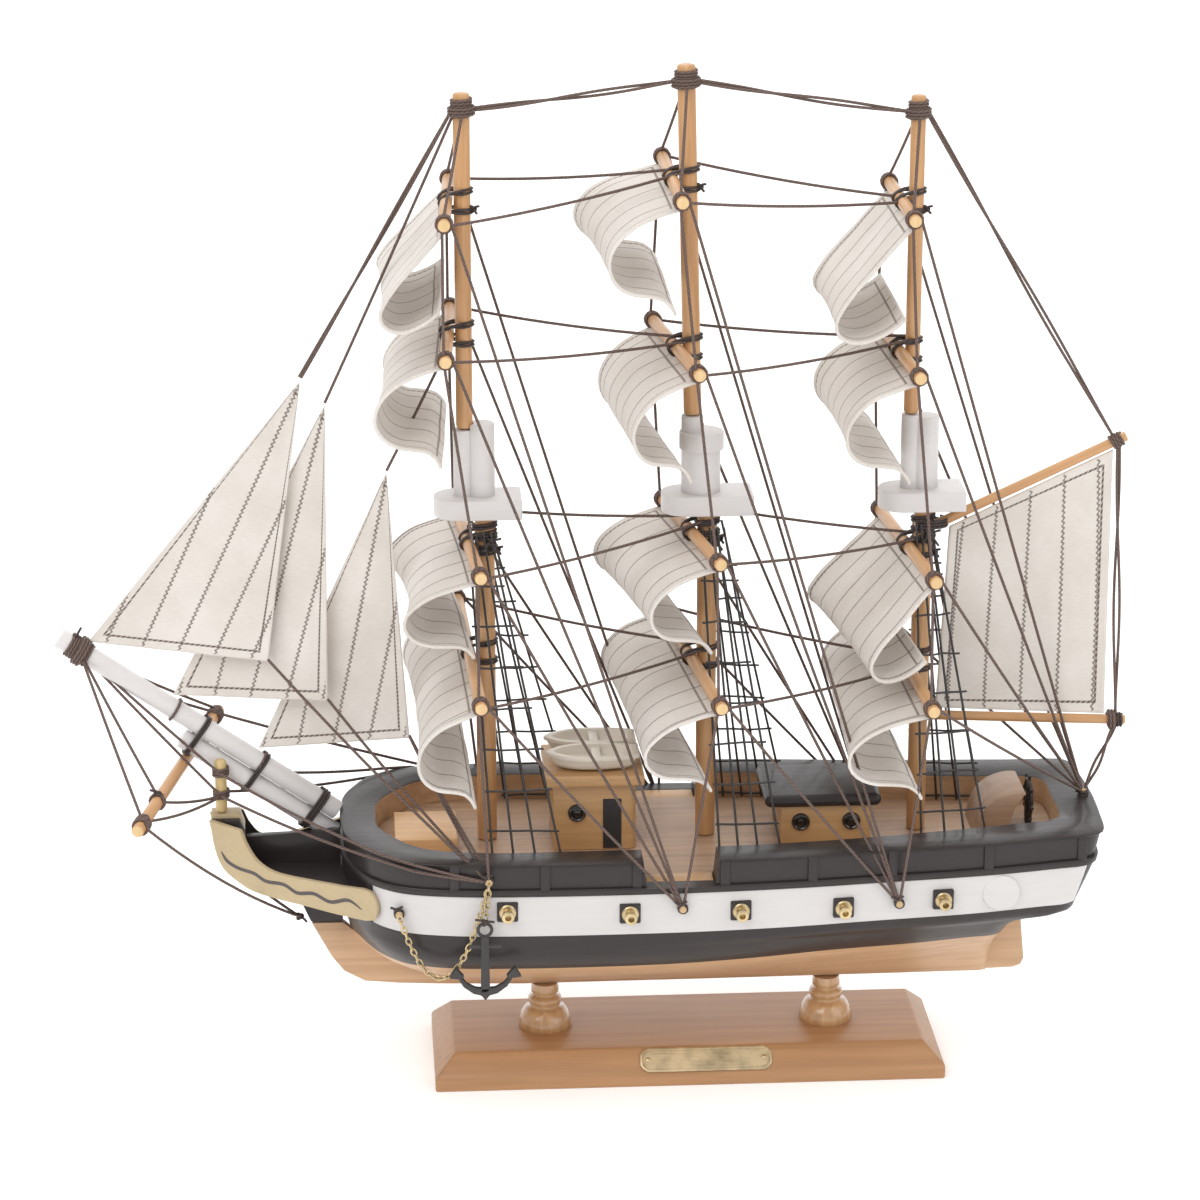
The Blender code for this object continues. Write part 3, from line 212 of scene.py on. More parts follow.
def stained(finish, signals, light, dark, stops, roughness, coat, deep):
    """Feed a wood's colour, gloss and relief from its grain, its clouds and its pores."""
    grain, cloud, pores = signals
    middle = [(a + b) / 2 for a, b in zip(light, dark)]
    shade = grain * 0.62 + cloud * 0.28 + pores * 0.10
    finish.feed(Base_Color=finish.ramp(shade, *zip(stops, (dark, middle, light))),
                Roughness=pores * 0.16 + (roughness - 0.08))
    finish.shader.inputs["Coat Weight"].default_value = coat
    finish.relief(pores * 0.7 + grain * 0.3, deep)
    return finish.material


def stretched(along, lengthwise, across):
    """A scale with one value along an axis and another across it."""
    return [lengthwise if axis == along else across for axis in "XYZ"]


def block_wood(name, light, dark, along, roughness, coat):
    """Stained wood in the block, with its grain along an axis."""
    finish = Finish(name, Coat_Roughness=0.15)
    grain = finish.noise(finish.place(stretched(along, 22.0, 420.0)), 1.0, 5.0, 0.6)
    cloud = finish.noise(finish.place(), 28.0, 2.0)
    pores = finish.noise(finish.place(stretched(along, 60.0, 2600.0)), 1.0, 2.0)
    return stained(finish, (grain, cloud, pores), light, dark, (0.30, 0.48, 0.66), roughness, coat, 0.00006)


def select_only(piece):
    bpy.ops.object.select_all(action="DESELECT")
    piece.select_set(True)
    bpy.context.view_layer.objects.active = piece


def faces_outward(piece):
    """Turn every face of a piece outwards."""
    select_only(piece)
    bpy.ops.object.mode_set(mode="EDIT")
    bpy.ops.mesh.select_all(action="SELECT")
    bpy.ops.mesh.normals_make_consistent(inside=False)
    bpy.ops.object.mode_set(mode="OBJECT")
    return piece


def modified(piece, kind, **settings):
    """Add a modifier to a piece and apply it."""
    select_only(piece)
    step = piece.modifiers.new("step", kind)
    for name, value in settings.items():
        setattr(step, name, value)
    bpy.ops.object.modifier_apply(modifier="step")
    return piece


def finished(piece, name, material, slot, *nodes, body="ship", angle=35):
    """Name a piece, set its place in its mesh, shade it and hide the parts of the model that it stands for.
    """
    select_only(piece)
    bpy.ops.object.transform_apply(location=True, rotation=True, scale=True)
    bpy.ops.object.shade_smooth_by_angle(angle=math.radians(angle))
    piece.name = name
    piece.data.materials.clear()
    piece.data.materials.append(material)
    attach(piece, body)
    if nodes:
        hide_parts(*nodes)
    return piece


def add_block(low, high, ease=0.0, segments=2):
    """A block between two corners, its edges eased."""
    bpy.ops.object.select_all(action="DESELECT")
    middle = [(a + b) / 2 * MM for a, b in zip(low, high)]
    bpy.ops.mesh.primitive_cube_add(size=1, location=middle)
    piece = bpy.context.object
    piece.scale = [(b - a) * MM for a, b in zip(low, high)]
    bpy.ops.object.transform_apply(location=False, rotation=False, scale=True)
    if ease:
        modified(piece, "BEVEL", width=ease * MM, segments=segments, limit_method="NONE")
    return piece


def add_dowel(start, end, radius, ease=0.3, sides=32):
    """A dowel between two points, with eased ends and a UV map in millimetres along it."""
    start, end = Vector(start) * MM, Vector(end) * MM
    run = end - start
    bpy.ops.object.select_all(action="DESELECT")
    bpy.ops.mesh.primitive_cylinder_add(vertices=sides, radius=radius * MM, depth=run.length,
                                        location=(start + end) / 2,
                                        rotation=run.to_track_quat("Z", "Y").to_euler())
    piece = bpy.context.object
    if ease:
        modified(piece, "BEVEL", width=ease * MM, segments=3, limit_method="ANGLE")
    select_only(piece)
    bpy.ops.object.transform_apply(location=True, rotation=True, scale=True)
    wrap(piece, start, run.normalized())
    return piece


def wrap(piece, start, axis):
    """Write a UV map: x is the turn round an axis, from 0 to 1, and y is metres along it."""
    side = axis.cross(Vector((0, 0, 1)))
    side = side.normalized() if side.length > 0.01 else Vector((1, 0, 0))
    up = axis.cross(side)
    layer = piece.data.uv_layers.get("wrap") or piece.data.uv_layers.new(name="wrap")
    for face in piece.data.polygons:
        turns = []
        for loop in face.loop_indices:
            out = piece.data.vertices[piece.data.loops[loop].vertex_index].co - start
            turns.append(math.atan2(out.dot(up), out.dot(side)) / (2 * math.pi) + 0.5)
        split = max(turns) - min(turns) > 0.5
        for loop, turn in zip(face.loop_indices, turns):
            out = piece.data.vertices[piece.data.loops[loop].vertex_index].co - start
            layer.data[loop].uv = (turn + (1 if split and turn < 0.5 else 0), out.dot(axis))


def poured(name, points, faces):
    """A mesh object from points in millimetres."""
    mesh = bpy.data.meshes.new(name)
    mesh.from_pydata([tuple(c * MM for c in p) for p in points], [], faces)
    mesh.validate()
    piece = bpy.data.objects.new(name, mesh)
    bpy.context.collection.objects.link(piece)
    select_only(piece)
    return piece


def loft(rings, capped=True, looped=False, strips=False):
    """A skin over rings of points. A looped one joins its last ring to its first. Strips cap it across."""
    count = len(rings[0])
    points = [p for ring in rings for p in ring]
    pairs = list(range(len(rings) - 1)) + ([len(rings) - 1] if looped else [])
    faces = []
    for row in pairs:
        low, high = row * count, (row + 1) % len(rings) * count
        faces += [(low + i, low + (i + 1) % count, high + (i + 1) % count, high + i) for i in range(count)]
    if capped and strips:
        for first in (0, len(points) - count):
            faces += [(first + i, first + i + 1, first + count - 2 - i, first + count - 1 - i)
                      for i in range(count // 2 - 1)]
    elif capped:
        faces += [tuple(reversed(range(count))), tuple(range(len(points) - count, len(points)))]
    return faces_outward(poured("loft", points, faces))


base_wood = block_wood("base_wood", (0.46, 0.25, 0.115), (0.35, 0.175, 0.075), "X", 0.42, 0.12)
BASE_LEFT, BASE_RIGHT, BASE_WIDTH = -49.8, 105.2, 51.3
TOP_LEFT, TOP_RIGHT, TOP_WIDTH = -43.7, 99.0, 39.6
BASE_EDGE, BASE_TOP = 4.3, 10.5
base_rings = [[Vector((x, y, z)) for x, y in ((left, -half), (right, -half), (right, half), (left, half))]
              for left, right, half, z in ((BASE_LEFT, BASE_RIGHT, BASE_WIDTH / 2, 0),
                                           (BASE_LEFT, BASE_RIGHT, BASE_WIDTH / 2, BASE_EDGE),
                                           (TOP_LEFT, TOP_RIGHT, TOP_WIDTH / 2, BASE_TOP))]
base = loft(base_rings)
modified(base, "BEVEL", width=0.7 * MM, segments=4, limit_method="ANGLE", angle_limit=math.radians(20))
finished(base, "display_base", base_wood, "honey_wood", "base", angle=25)

PEDESTALS = (-15.4, 71.3)
# radius, height
PEDESTAL_PROFILE = ((0.0, 9.9), (7.9, 9.9), (8.15, 10.8), (8.2, 11.8), (7.9, 13.4), (7.2, 14.9),
                    (6.4, 16.1), (5.9, 16.7), (4.85, 17.0), (4.7, 17.5), (4.75, 18.0), (5.15, 18.5),
                    (5.2, 19.3), (4.9, 20.1), (4.1, 20.5), (3.75, 20.8), (3.75, 21.2), (4.2, 21.6),
                    (4.3, 22.3), (4.2, 23.4), (4.0, 24.5), (0.0, 24.5))
varnished_wood = block_wood("varnished_wood", (0.64, 0.40, 0.20), (0.42, 0.22, 0.09), "Z", 0.20, 1.0)
WELD = 0.01 * MM


def add_turned(profile, place=(0, 0, 0), segments=64):
    """Spin a profile of (radius, height) round a vertical axis."""
    mesh = bpy.data.meshes.new("turned")
    edges = [(i, i + 1) for i in range(len(profile) - 1)]
    mesh.from_pydata([(r * MM, 0, z * MM) for r, z in profile], edges, [])
    piece = bpy.data.objects.new("turned", mesh)
    bpy.context.collection.objects.link(piece)
    modified(piece, "SCREW", steps=segments, render_steps=segments, merge_threshold=WELD,
             use_merge_vertices=True)
    select_only(piece)
    bpy.ops.object.mode_set(mode="EDIT")
    bpy.ops.mesh.select_all(action="SELECT")
    bpy.ops.mesh.remove_doubles(threshold=WELD)
    bpy.ops.object.mode_set(mode="OBJECT")
    faces_outward(piece)
    piece.location = [c * MM for c in place]
    return piece


for number, x in enumerate(PEDESTALS):
    finished(add_turned(PEDESTAL_PROFILE, (x, 0, 0)), f"pedestal_{number + 1}", varnished_wood, "honey_wood",
             "base", angle=60)


# The nameplate: a thin brass plate with clipped corners, left blank, held by a small brass nail at each end.

METAL_SHINE = 0.22


def plain_metal(name, colour, roughness, streak_axis):
    """Rolled or turned metal with fine drawn scratches and a little tarnish."""
    finish = Finish(name, Metallic=1.0)
    scratch = finish.noise(finish.place(stretched(streak_axis, 120.0, 5200.0)), 1.0, 3.0)
    tarnish = finish.noise(finish.place(), 190.0, 4.0)
    dull = [c * 0.55 for c in colour]
    finish.feed(Base_Color=finish.ramp(tarnish * 0.7 + scratch * 0.3, (0.34, dull), (0.60, colour)),
                Roughness=scratch * METAL_SHINE + tarnish * METAL_SHINE + (roughness - METAL_SHINE))
    finish.relief(scratch, 0.00002)
    return finish.material


plate_brass = plain_metal("plate_brass", (0.66, 0.53, 0.33), 0.38, "X")
PLATE_CENTRE, PLATE_LENGTH, PLATE_HEIGHT, PLATE_THICK = 32.3, 40.0, 7.8, 0.5
PLATE_CLIP, PLATE_BITE = 2.2, 0.9
slope = math.atan2(BASE_TOP - BASE_EDGE, (BASE_WIDTH - TOP_WIDTH) / 2)
slope_middle = Vector((PLATE_CENTRE, -(BASE_WIDTH + TOP_WIDTH) / 4, (BASE_EDGE + BASE_TOP) / 2))
to_slope = Matrix.Translation(slope_middle * MM) @ Matrix.Rotation(slope, 4, "X")


def add_plate(outline, low, high, ease, segments=2):
    """A flat outline with a thickness along z, its edges eased."""
    count = len(outline)
    points = [(x, y, z) for z in (low, high) for x, y in outline]
    faces = [tuple(reversed(range(count))), tuple(range(count, 2 * count))]
    faces += [(i, (i + 1) % count, (i + 1) % count + count, i + count) for i in range(count)]
    piece = poured("plate", points, faces)
    if ease:
        modified(piece, "BEVEL", width=ease * MM, segments=segments, limit_method="ANGLE",
                 angle_limit=math.radians(30))
    return piece


along, up = PLATE_LENGTH / 2, PLATE_HEIGHT / 2
fore_corner = ((-along, PLATE_CLIP - up), (PLATE_BITE - along, PLATE_BITE - up), (PLATE_CLIP - along, -up))
lower_side = fore_corner + tuple((-x, y) for x, y in reversed(fore_corner))
plate_outline = lower_side + tuple((x, -y) for x, y in reversed(lower_side))
plate = add_plate(plate_outline, 0.1, 0.1 + PLATE_THICK, 0.12)
select_only(plate)
for face in plate.data.polygons:
    face.select = face.normal.z > 0.95 and face.area > 0.0001
bpy.ops.object.mode_set(mode="EDIT")
bpy.ops.mesh.select_mode(type="FACE")
# a groove pressed round the plate: its distance in, its near slope, its floor and its far slope
for thick, deep in ((0.55, 0), (0.12, -0.12), (0.25, 0), (0.12, 0.12)):
    bpy.ops.mesh.inset(thickness=thick * MM, depth=deep * MM)
bpy.ops.object.mode_set(mode="OBJECT")
plate.matrix_world = to_slope
finished(plate, "blank_plate", plate_brass, "brass", "nameplate", angle=25)
NAIL_INSET, NAIL_RADIUS, NAIL_LIFT, NAIL_FLATNESS = 2.3, 0.85, 0.6, 0.55
for end, sign in (("fore", -1), ("aft", 1)):
    bpy.ops.object.select_all(action="DESELECT")
    bpy.ops.mesh.primitive_uv_sphere_add(segments=20, ring_count=10, radius=NAIL_RADIUS * MM)
    nail = bpy.context.object
    spot = Matrix.Translation((sign * (along - NAIL_INSET) * MM, 0, NAIL_LIFT * MM))
    nail.matrix_world = to_slope @ spot @ Matrix.Diagonal((1, 1, NAIL_FLATNESS, 1))
    finished(nail, "plate_nail_" + end, plate_brass, "brass", "nameplate")


# The hull: wooden lifts that share one outline. The bottom is bare stained wood with a keel plank let in,
# the wale and the bulwark are black gloss brushed on thickly, and the gun band between them is off-white.

def curve_through(points, steps, closed=False):
    """A smooth curve through points, with as many steps between each two."""
    spots = [Vector(p) for p in points]
    if closed:
        ends = [spots[-1]] + spots + spots[:2]
    else:
        ends = [spots[0] * 2 - spots[1]] + spots + [spots[-1] * 2 - spots[-2]]
    out = []
    for a, b, c, d in zip(ends, ends[1:], ends[2:], ends[3:]):
        first = (b - a).length ** 0.5
        second = first + (c - b).length ** 0.5
        third = second + (d - c).length ** 0.5
        for k in range(steps):
            t = first + (second - first) * k / steps
            share = (t - first) / (second - first)
            ab, bc, cd = a.lerp(b, t / first), b.lerp(c, share), c.lerp(d, (t - second) / (third - second))
            out.append(ab.lerp(bc, t / second).lerp(bc.lerp(cd, (t - first) / (third - first)), share))
    return out if closed else out + [spots[-1]]


def evenly(points, count, closed=False):
    """The same curve with its points spaced evenly."""
    line = points + [points[0]] if closed else points
    reach = [0.0]
    for a, b in zip(line, line[1:]):
        reach.append(reach[-1] + (b - a).length)
    out, at = [], 0
    for k in range(count):
        want = reach[-1] * k / (count if closed else count - 1)
        while at < len(line) - 2 and reach[at + 1] < want:
            at += 1
        out.append(line[at].lerp(line[at + 1], (want - reach[at]) / (reach[at + 1] - reach[at])))
    return out


# distance aft, half breadth
DECK_PLAN = ((-76.8, 0.9), (-75.7, 14.8), (-72.9, 23.0), (-68.5, 31.5), (-62.3, 37.3), (-56.3, 40.2),
             (-43.0, 42.5), (-17.0, 43.5), (28.0, 43.2), (58.0, 41.5), (88.0, 38.5), (118.0, 36.0),
             (138.0, 33.5), (146.0, 32.6), (149.5, 30.0), (151.1, 16.0), (151.7, 0.9))
BOW, STERN, MIDSHIP_HALF = -76.8, 151.7, 43.5
RING_POINTS = 240
WALE_FOOT, WALE_TURN, BAND_FOOT, BAND_TOP = 45.2, 52.6, 57.6, 70.1
BULWARK_FOOT, RIM_TOP, DECK_TOP = 70.2, 80.2, 72.0


def read_off(table, at, beyond):
    """The second column of a table at a value of its first, by straight runs, and a value past its end."""
    for (low, first), (high, last) in zip(table, table[1:]):
        if at <= high:
            return first + (last - first) * (at - low) / (high - low)
    return beyond


def sheer(x):
    """How much higher than amidships the hull's lines run."""
    return 1.6 * ((x - 30.0) / 118.0) ** 4


def hull_ring(level, rise):
    """One level of the hull as a smooth ring. The level is (z, bow x, stern x, breadth factor, fineness)."""
    z, bow, stern, factor, fineness = level
    side = []
    for x, half in DECK_PLAN:
        along = bow + (x - BOW) / (STERN - BOW) * (stern - bow)
        side.append((along, MIDSHIP_HALF * factor * (half / MIDSHIP_HALF) ** fineness))
    outline = [(x, -y, 0) for x, y in side] + [(x, y, 0) for x, y in reversed(side)]
    ring = evenly(curve_through(outline, 8, closed=True), RING_POINTS, closed=True)
    return [Vector((p.x, p.y, z + rise * sheer(p.x))) for p in ring]


# distance aft of the stern at the band's foot and top and at the bulwark's foot
BAND_STERN, BAND_STERN_HIGH, BULWARK_STERN = 144.5, 149.3, 149.4
# z, bow x, stern x, breadth factor, fineness
BOTTOM_LEVELS = ((25.2, -46.0, 121.0, 0.05, 1.0), (27.0, -51.0, 121.6, 0.12, 2.0),
                 (30.0, -58.5, 122.0, 0.25, 3.0), (34.0, -65.0, 122.3, 0.42, 3.0),
                 (38.0, -70.0, 122.7, 0.60, 2.6), (42.0, -73.3, 123.0, 0.77, 2.2),
                 (WALE_FOOT, -74.5, 124.0, 0.87, 2.0))
WALE_LEVELS = ((WALE_FOOT, -74.7, 124.2, 0.875, 2.0), (47.5, -75.3, 124.7, 0.925, 1.8),
               (50.0, -76.0, 125.7, 0.96, 1.6), (WALE_TURN, -76.3, 129.2, 0.98, 1.4),
               (55.2, -76.6, 143.4, 0.992, 1.25), (BAND_FOOT, -76.7, BAND_STERN, 0.996, 1.15))
hull_wood = block_wood("hull_wood", (0.64, 0.41, 0.24), (0.46, 0.27, 0.145), "X", 0.46, 0.15)
bottom_rings = [hull_ring(level, 0.0) for level in curve_through(BOTTOM_LEVELS, 3)]
finished(loft(bottom_rings, strips=True), "bottom_lift", hull_wood, "honey_wood", "hull_bottom")

# Keel plank, stem and sternpost in one outline: distance aft, height
KEEL_OUTLINE = ((-86.2, 46.3), (-83.5, 41.1), (-80.3, 35.1), (-76.7, 30.3), (-70.4, 26.8), (-60.0, 25.8),
                (-47.5, 25.2), (-21.8, 24.5), (32.4, 24.6), (95.5, 24.9), (128.9, 25.9), (131.3, 26.7),
                (132.3, 28.9), (131.1, 40.9), (130.8, 52.2), (129.3, 52.2), (126.2, 49.6), (125.0, 47.3),
                (124.4, 45.0), (122.5, 40.0), (110.0, 30.0), (-50.0, 30.0), (-74.0, 44.0), (-76.6, 46.3))
KEEL_HALF = 1.5
upright = Matrix.Rotation(math.radians(90), 4, "X")


def standing_plate(outline, low, high, ease):
    """A plate on edge. Its outline is distance aft and height, and it lies between two distances to port."""
    plate = add_plate(outline, low, high, ease)
    plate.matrix_world = upright
    return plate


keel = standing_plate(KEEL_OUTLINE, -KEEL_HALF, KEEL_HALF, 0.3)
finished(keel, "keel_plank", hull_wood, "honey_wood", "hull_bottom")


def brushed_paint(name, colour, roughness, coat, along="X", depth=0.00008, spread=0.12):
    """Paint laid on by brush: streaks along the stroke, dried beads and faint wood under it."""
    finish = Finish(name, Coat_Roughness=0.12)
    stroke = finish.noise(finish.place(stretched(along, 40.0, 900.0)), 1.0, 3.0, 0.4)
    beads = finish.noise(finish.place(), 620.0, 2.0)
    clouds = finish.noise(finish.place(), 45.0, 2.0)
    low, high = [[c * (1 - spread) for c in colour], [c * (1 + spread) for c in colour]]
    finish.feed(Base_Color=finish.ramp(stroke * 0.5 + clouds * 0.5, (0.35, low), (0.65, high)),
                Roughness=stroke * 0.2 + clouds * 0.1 + (roughness - 0.12))
    finish.shader.inputs["Coat Weight"].default_value = coat
    finish.relief(stroke * 0.7 + beads * 0.5, depth)
    return finish.material


black_gloss = brushed_paint("black_gloss", (0.027, 0.021, 0.020), 0.40, 0.16)
black_gloss.node_tree.nodes["Principled BSDF"].inputs["Specular IOR Level"].default_value = 0.35
band_white = brushed_paint("band_white", (0.62, 0.595, 0.585), 0.42, 0.1, depth=0.00004, spread=0.03)
wale_rings = [hull_ring(level, max(0.0, min(1.0, (level[0] - WALE_TURN) / 5.0)))
              for level in curve_through(WALE_LEVELS, 3)]
finished(loft(wale_rings, strips=True), "black_wale", black_gloss, "black_paint", "hull_wale")

BAND_LEVELS = ((BAND_FOOT, -76.6, BAND_STERN, 0.995, 1.15), (63.9, -76.7, 147.0, 0.998, 1.07),
               (BAND_TOP, BOW, BAND_STERN_HIGH, 1.0, 1.0))
BAND_PAINT_FORE, BAND_PAINT_AFT_LOW, BAND_PAINT_AFT_HIGH = -67.6, 141.9, 144.9
band = loft([hull_ring(level, 1.0) for level in BAND_LEVELS], strips=True)
lean = (BAND_PAINT_AFT_HIGH - BAND_PAINT_AFT_LOW) / (BAND_TOP - BAND_FOOT)
PAINT_FOOT = BAND_FOOT + 1.0
for at, normal in ((BAND_PAINT_FORE, (1, 0, 0)), (BAND_PAINT_AFT_LOW, (1, 0, -lean))):
    select_only(band)
    bpy.ops.object.mode_set(mode="EDIT")
    bpy.ops.mesh.select_all(action="SELECT")
    bpy.ops.mesh.bisect(plane_co=(at * MM, 0, PAINT_FOOT * MM), plane_no=normal)
    bpy.ops.object.mode_set(mode="OBJECT")
finished(band, "gun_band", band_white, "white_paint", "hull_band")
band.data.materials.append(black_gloss)
for face in band.data.polygons:
    x, z = face.center.x / MM, face.center.z / MM
    if x < BAND_PAINT_FORE or x > BAND_PAINT_AFT_LOW + lean * (z - PAINT_FOOT):
        face.material_index = 1

# The bulwark is one plank-thick ring: a moulding round its foot, sunk panels and a rounded rim
# distance aft, half breadth
WELL_PLAN = ((-66.4, 0.8), (-65.9, 9.0), (-62.3, 17.2), (-52.3, 28.7), (-32.3, 33.0), (-12.3, 33.0),
             (27.7, 32.0), (67.7, 28.9), (107.7, 23.1), (127.7, 20.3), (135.5, 19.0), (139.0, 15.5),
             (139.6, 0.8))
RIM_SHEER = 0.95
# how far out of the hull side, height
OUTSIDE = ((-2.0, BULWARK_FOOT), (0.35, BULWARK_FOOT), (0.55, 70.5), (0.55, 72.0), (0.35, 72.3),
           (-0.55, 72.4), (-0.55, 79.3), (0.1, 79.4), (0.3, 79.7), (0.15, 80.05), (-0.35, RIM_TOP))
# how far in from the well's edge, height
INSIDE = ((-0.5, RIM_TOP), (0.0, 79.8), (0.05, 79.0), (0.05, 70.4), (-2.0, BULWARK_FOOT))


def shifted(ring, out):
    """A ring moved outwards by a distance, square to its own line."""
    moved = []
    for i, p in enumerate(ring):
        run = ring[(i + 1) % len(ring)] - ring[i - 1]
        moved.append(p + Vector((run.y, -run.x, 0)).normalized() * out)
    return moved


def bulwark_stern(z):
    """Distance aft of the stern at a height of the bulwark."""
    return BULWARK_STERN + (STERN - BULWARK_STERN) * (z - BULWARK_FOOT) / (RIM_TOP - BULWARK_FOOT)


def side_ring(z, out):
    """One line of the bulwark's outside."""
    return shifted(hull_ring((z, BOW, bulwark_stern(z), 1.0, 1.0), RIM_SHEER), out)


well_outline = [(x, -y, 0) for x, y in WELL_PLAN] + [(x, y, 0) for x, y in reversed(WELL_PLAN)]
well_line = evenly(curve_through(well_outline, 8, closed=True), RING_POINTS, closed=True)


def well_ring(z, inward):
    """One line of the bulwark's inside."""
    return [Vector((p.x, p.y, z + RIM_SHEER * sheer(p.x))) for p in shifted(well_line, -inward)]


bulwark = loft([side_ring(z, out) for out, z in OUTSIDE] + [well_ring(z, inward) for inward, z in INSIDE],
               capped=False, looped=True)

# At the waist the bulwark is cut down on both sides, and a tongue of bare deck fills the gap
WAIST_FORE, WAIST_AFT, WAIST_LEAN, WAIST_MARGIN = 12.5, 33.0, 1.6, 38.3
CUT_TOP = 86.0
cutter_outline = ((WAIST_FORE, DECK_TOP), (WAIST_AFT, DECK_TOP), (WAIST_AFT + WAIST_LEAN, CUT_TOP),
                  (WAIST_FORE - WAIST_LEAN, CUT_TOP))
CUT_HALF, CUT_FOOT = 60, 60


def cut_away(piece, cutter):
    """Cut a piece with another, which is then gone."""
    modified(piece, "BOOLEAN", object=cutter, operation="DIFFERENCE", solver="EXACT")
    bpy.data.objects.remove(cutter, do_unlink=True)


cut_away(bulwark, standing_plate(cutter_outline, -CUT_HALF, CUT_HALF, 0))
cut_away(bulwark, add_block((WAIST_FORE, -WAIST_MARGIN, CUT_FOOT), (WAIST_AFT, WAIST_MARGIN, DECK_TOP + 1)))
finished(bulwark, "rim_and_bulwark", black_gloss, "black_paint", "bulwark", angle=40)
inside_wood = block_wood("inside_wood", (0.62, 0.40, 0.23), (0.42, 0.25, 0.14), "X", 0.5, 0.1)
bulwark.data.materials.append(inside_wood)
for face in bulwark.data.polygons:
    middle = face.center / MM
    near = min(well_line, key=lambda p: (p.x - middle.x) ** 2 + (p.y - middle.y) ** 2)
    under_rim = middle.z - RIM_SHEER * sheer(middle.x) < 79.6
    if (middle.xy - near.xy).length < 1.3 and under_rim and abs(face.normal.z) < 0.5:
        face.material_index = 1


def half_breadth(x, z):
    """Half breadth of the painted side at a place above the wale."""
    share = (z - BAND_FOOT) / (BAND_TOP - BAND_FOOT)
    stern = BAND_STERN + (BAND_STERN_HIGH - BAND_STERN) * share if z < BAND_TOP else bulwark_stern(z)
    along = BOW + (x - BOW) / (stern - BOW) * (STERN - BOW)
    return read_off(DECK_PLAN, along, 1.0)


def side_block(side, aft, out, up, ease=0.0, segments=2):
    """A block on one side, between two distances aft, two distances out and two heights."""
    low, high = sorted(side * y for y in out)
    return add_block((aft[0], low, up[0]), (aft[1], high, up[1]), ease, segments)


RIBS = (-43.8, -17.3, 9.7, 35.6, 61.7, 85.7, 114.7, 143.2)
RIB_HALF, RIB_SUNK, RIB_PROUD, RIB_FOOT, RIB_TOP = 1.45, 1.6, 0.35, 71.6, 79.9
for number, x in enumerate(RIBS):
    for side, name in SIDE_NAMES.items():
        out, rise = half_breadth(x, 76), RIM_SHEER * sheer(x)
        rib = side_block(side, (x - RIB_HALF, x + RIB_HALF), (out - RIB_SUNK, out + RIB_PROUD),
                         (RIB_FOOT + rise, RIB_TOP + rise), 0.3)
        finished(rib, f"rib_{number + 1}_{name}", black_gloss, "black_paint", "bulwark")


# Each gun is turned from brass rod, with a flange, a muzzle swell and a bore, and is pinned through a small
# black plate on the gun band. The boss further aft is a painted disc, and the pegs that the rigging is tied
# to are turned wooden pins.

gun_brass = plain_metal("gun_brass", (0.72, 0.57, 0.33), 0.34, "Y")
# distance aft, height
GUNS = ((-28.4, 65.6), (7.6, 64.3), (40.4, 64.0), (71.1, 63.0), (101.2, 63.7))
GUN_PLATE, PLATE_SUNK, PLATE_PROUD = 3.1, 1.5, 0.8
# radius, how far out of the hull's side
BARREL_PROFILE = ((0.0, -0.5), (2.4, -0.5), (2.5, 1.2), (2.2, 1.5), (1.5, 1.6), (1.35, 2.6), (1.3, 3.9),
                  (1.75, 4.1), (1.9, 4.5), (1.8, 5.0), (1.5, 5.2), (0.95, 5.2), (0.85, 3.2), (0.0, 3.2))
BOSS = (118.7, 64.7)
BOSS_PROFILE = ((0.0, -1.0), (5.6, -1.0), (5.6, 0.15), (5.35, 0.45), (4.6, 0.55), (0.0, 0.5))
BAND_PEGS, SIDE_PEG, STERN_PEG = ((-60.1, 64.2), (23.1, 65.6), (87.8, 63.5)), (-33.8, 75.3), (149.0, 81.7)
PEG_PROFILE = ((0.0, -1.0), (0.75, -1.0), (0.75, 0.9), (1.0, 1.3), (1.1, 1.8), (0.9, 2.2), (0.5, 2.45),
               (0.0, 2.5))
peg_wood = block_wood("peg_wood", (0.62, 0.45, 0.25), (0.45, 0.29, 0.14), "Y", 0.5, 0.1)


def side_turned(name, profile, segments, spot, side, material, slot, wall=None):
    """A turned piece that stands square to the hull's side, or to a wall at a distance out."""
    x, z = spot
    foot = Vector((x, side * (half_breadth(x, z) if wall is None else wall), z)) * MM
    piece = add_turned(profile, segments=segments)
    piece.matrix_world = Matrix.Translation(foot) @ Matrix.Rotation(math.radians(-90 * side), 4, "X")
    finished(piece, name, material, slot)


for side, side_name in SIDE_NAMES.items():
    for number, (x, z) in enumerate(GUNS):
        name, out = f"{number + 1}_{side_name}", half_breadth(x, z)
        mount = side_block(side, (x - GUN_PLATE, x + GUN_PLATE), (out - PLATE_SUNK, out + PLATE_PROUD),
                           (z - GUN_PLATE, z + GUN_PLATE), 0.45, 3)
        finished(mount, "gun_plate_" + name, black_gloss, "black_paint")
        side_turned("gun_barrel_" + name, BARREL_PROFILE, 32, (x, z), side, gun_brass, "brass")
    side_turned("boss_" + side_name, BOSS_PROFILE, 64, BOSS, side, band_white, "white_paint")
    for number, spot in enumerate(BAND_PEGS + (SIDE_PEG,)):
        side_turned(f"peg_{number + 1}_{side_name}", PEG_PROFILE, 20, spot, side, peg_wood, "honey_wood")
stern_peg = add_turned(PEG_PROFILE, (STERN_PEG[0], 0, STERN_PEG[1]), 20)
finished(stern_peg, "peg_stern", peg_wood, "honey_wood")
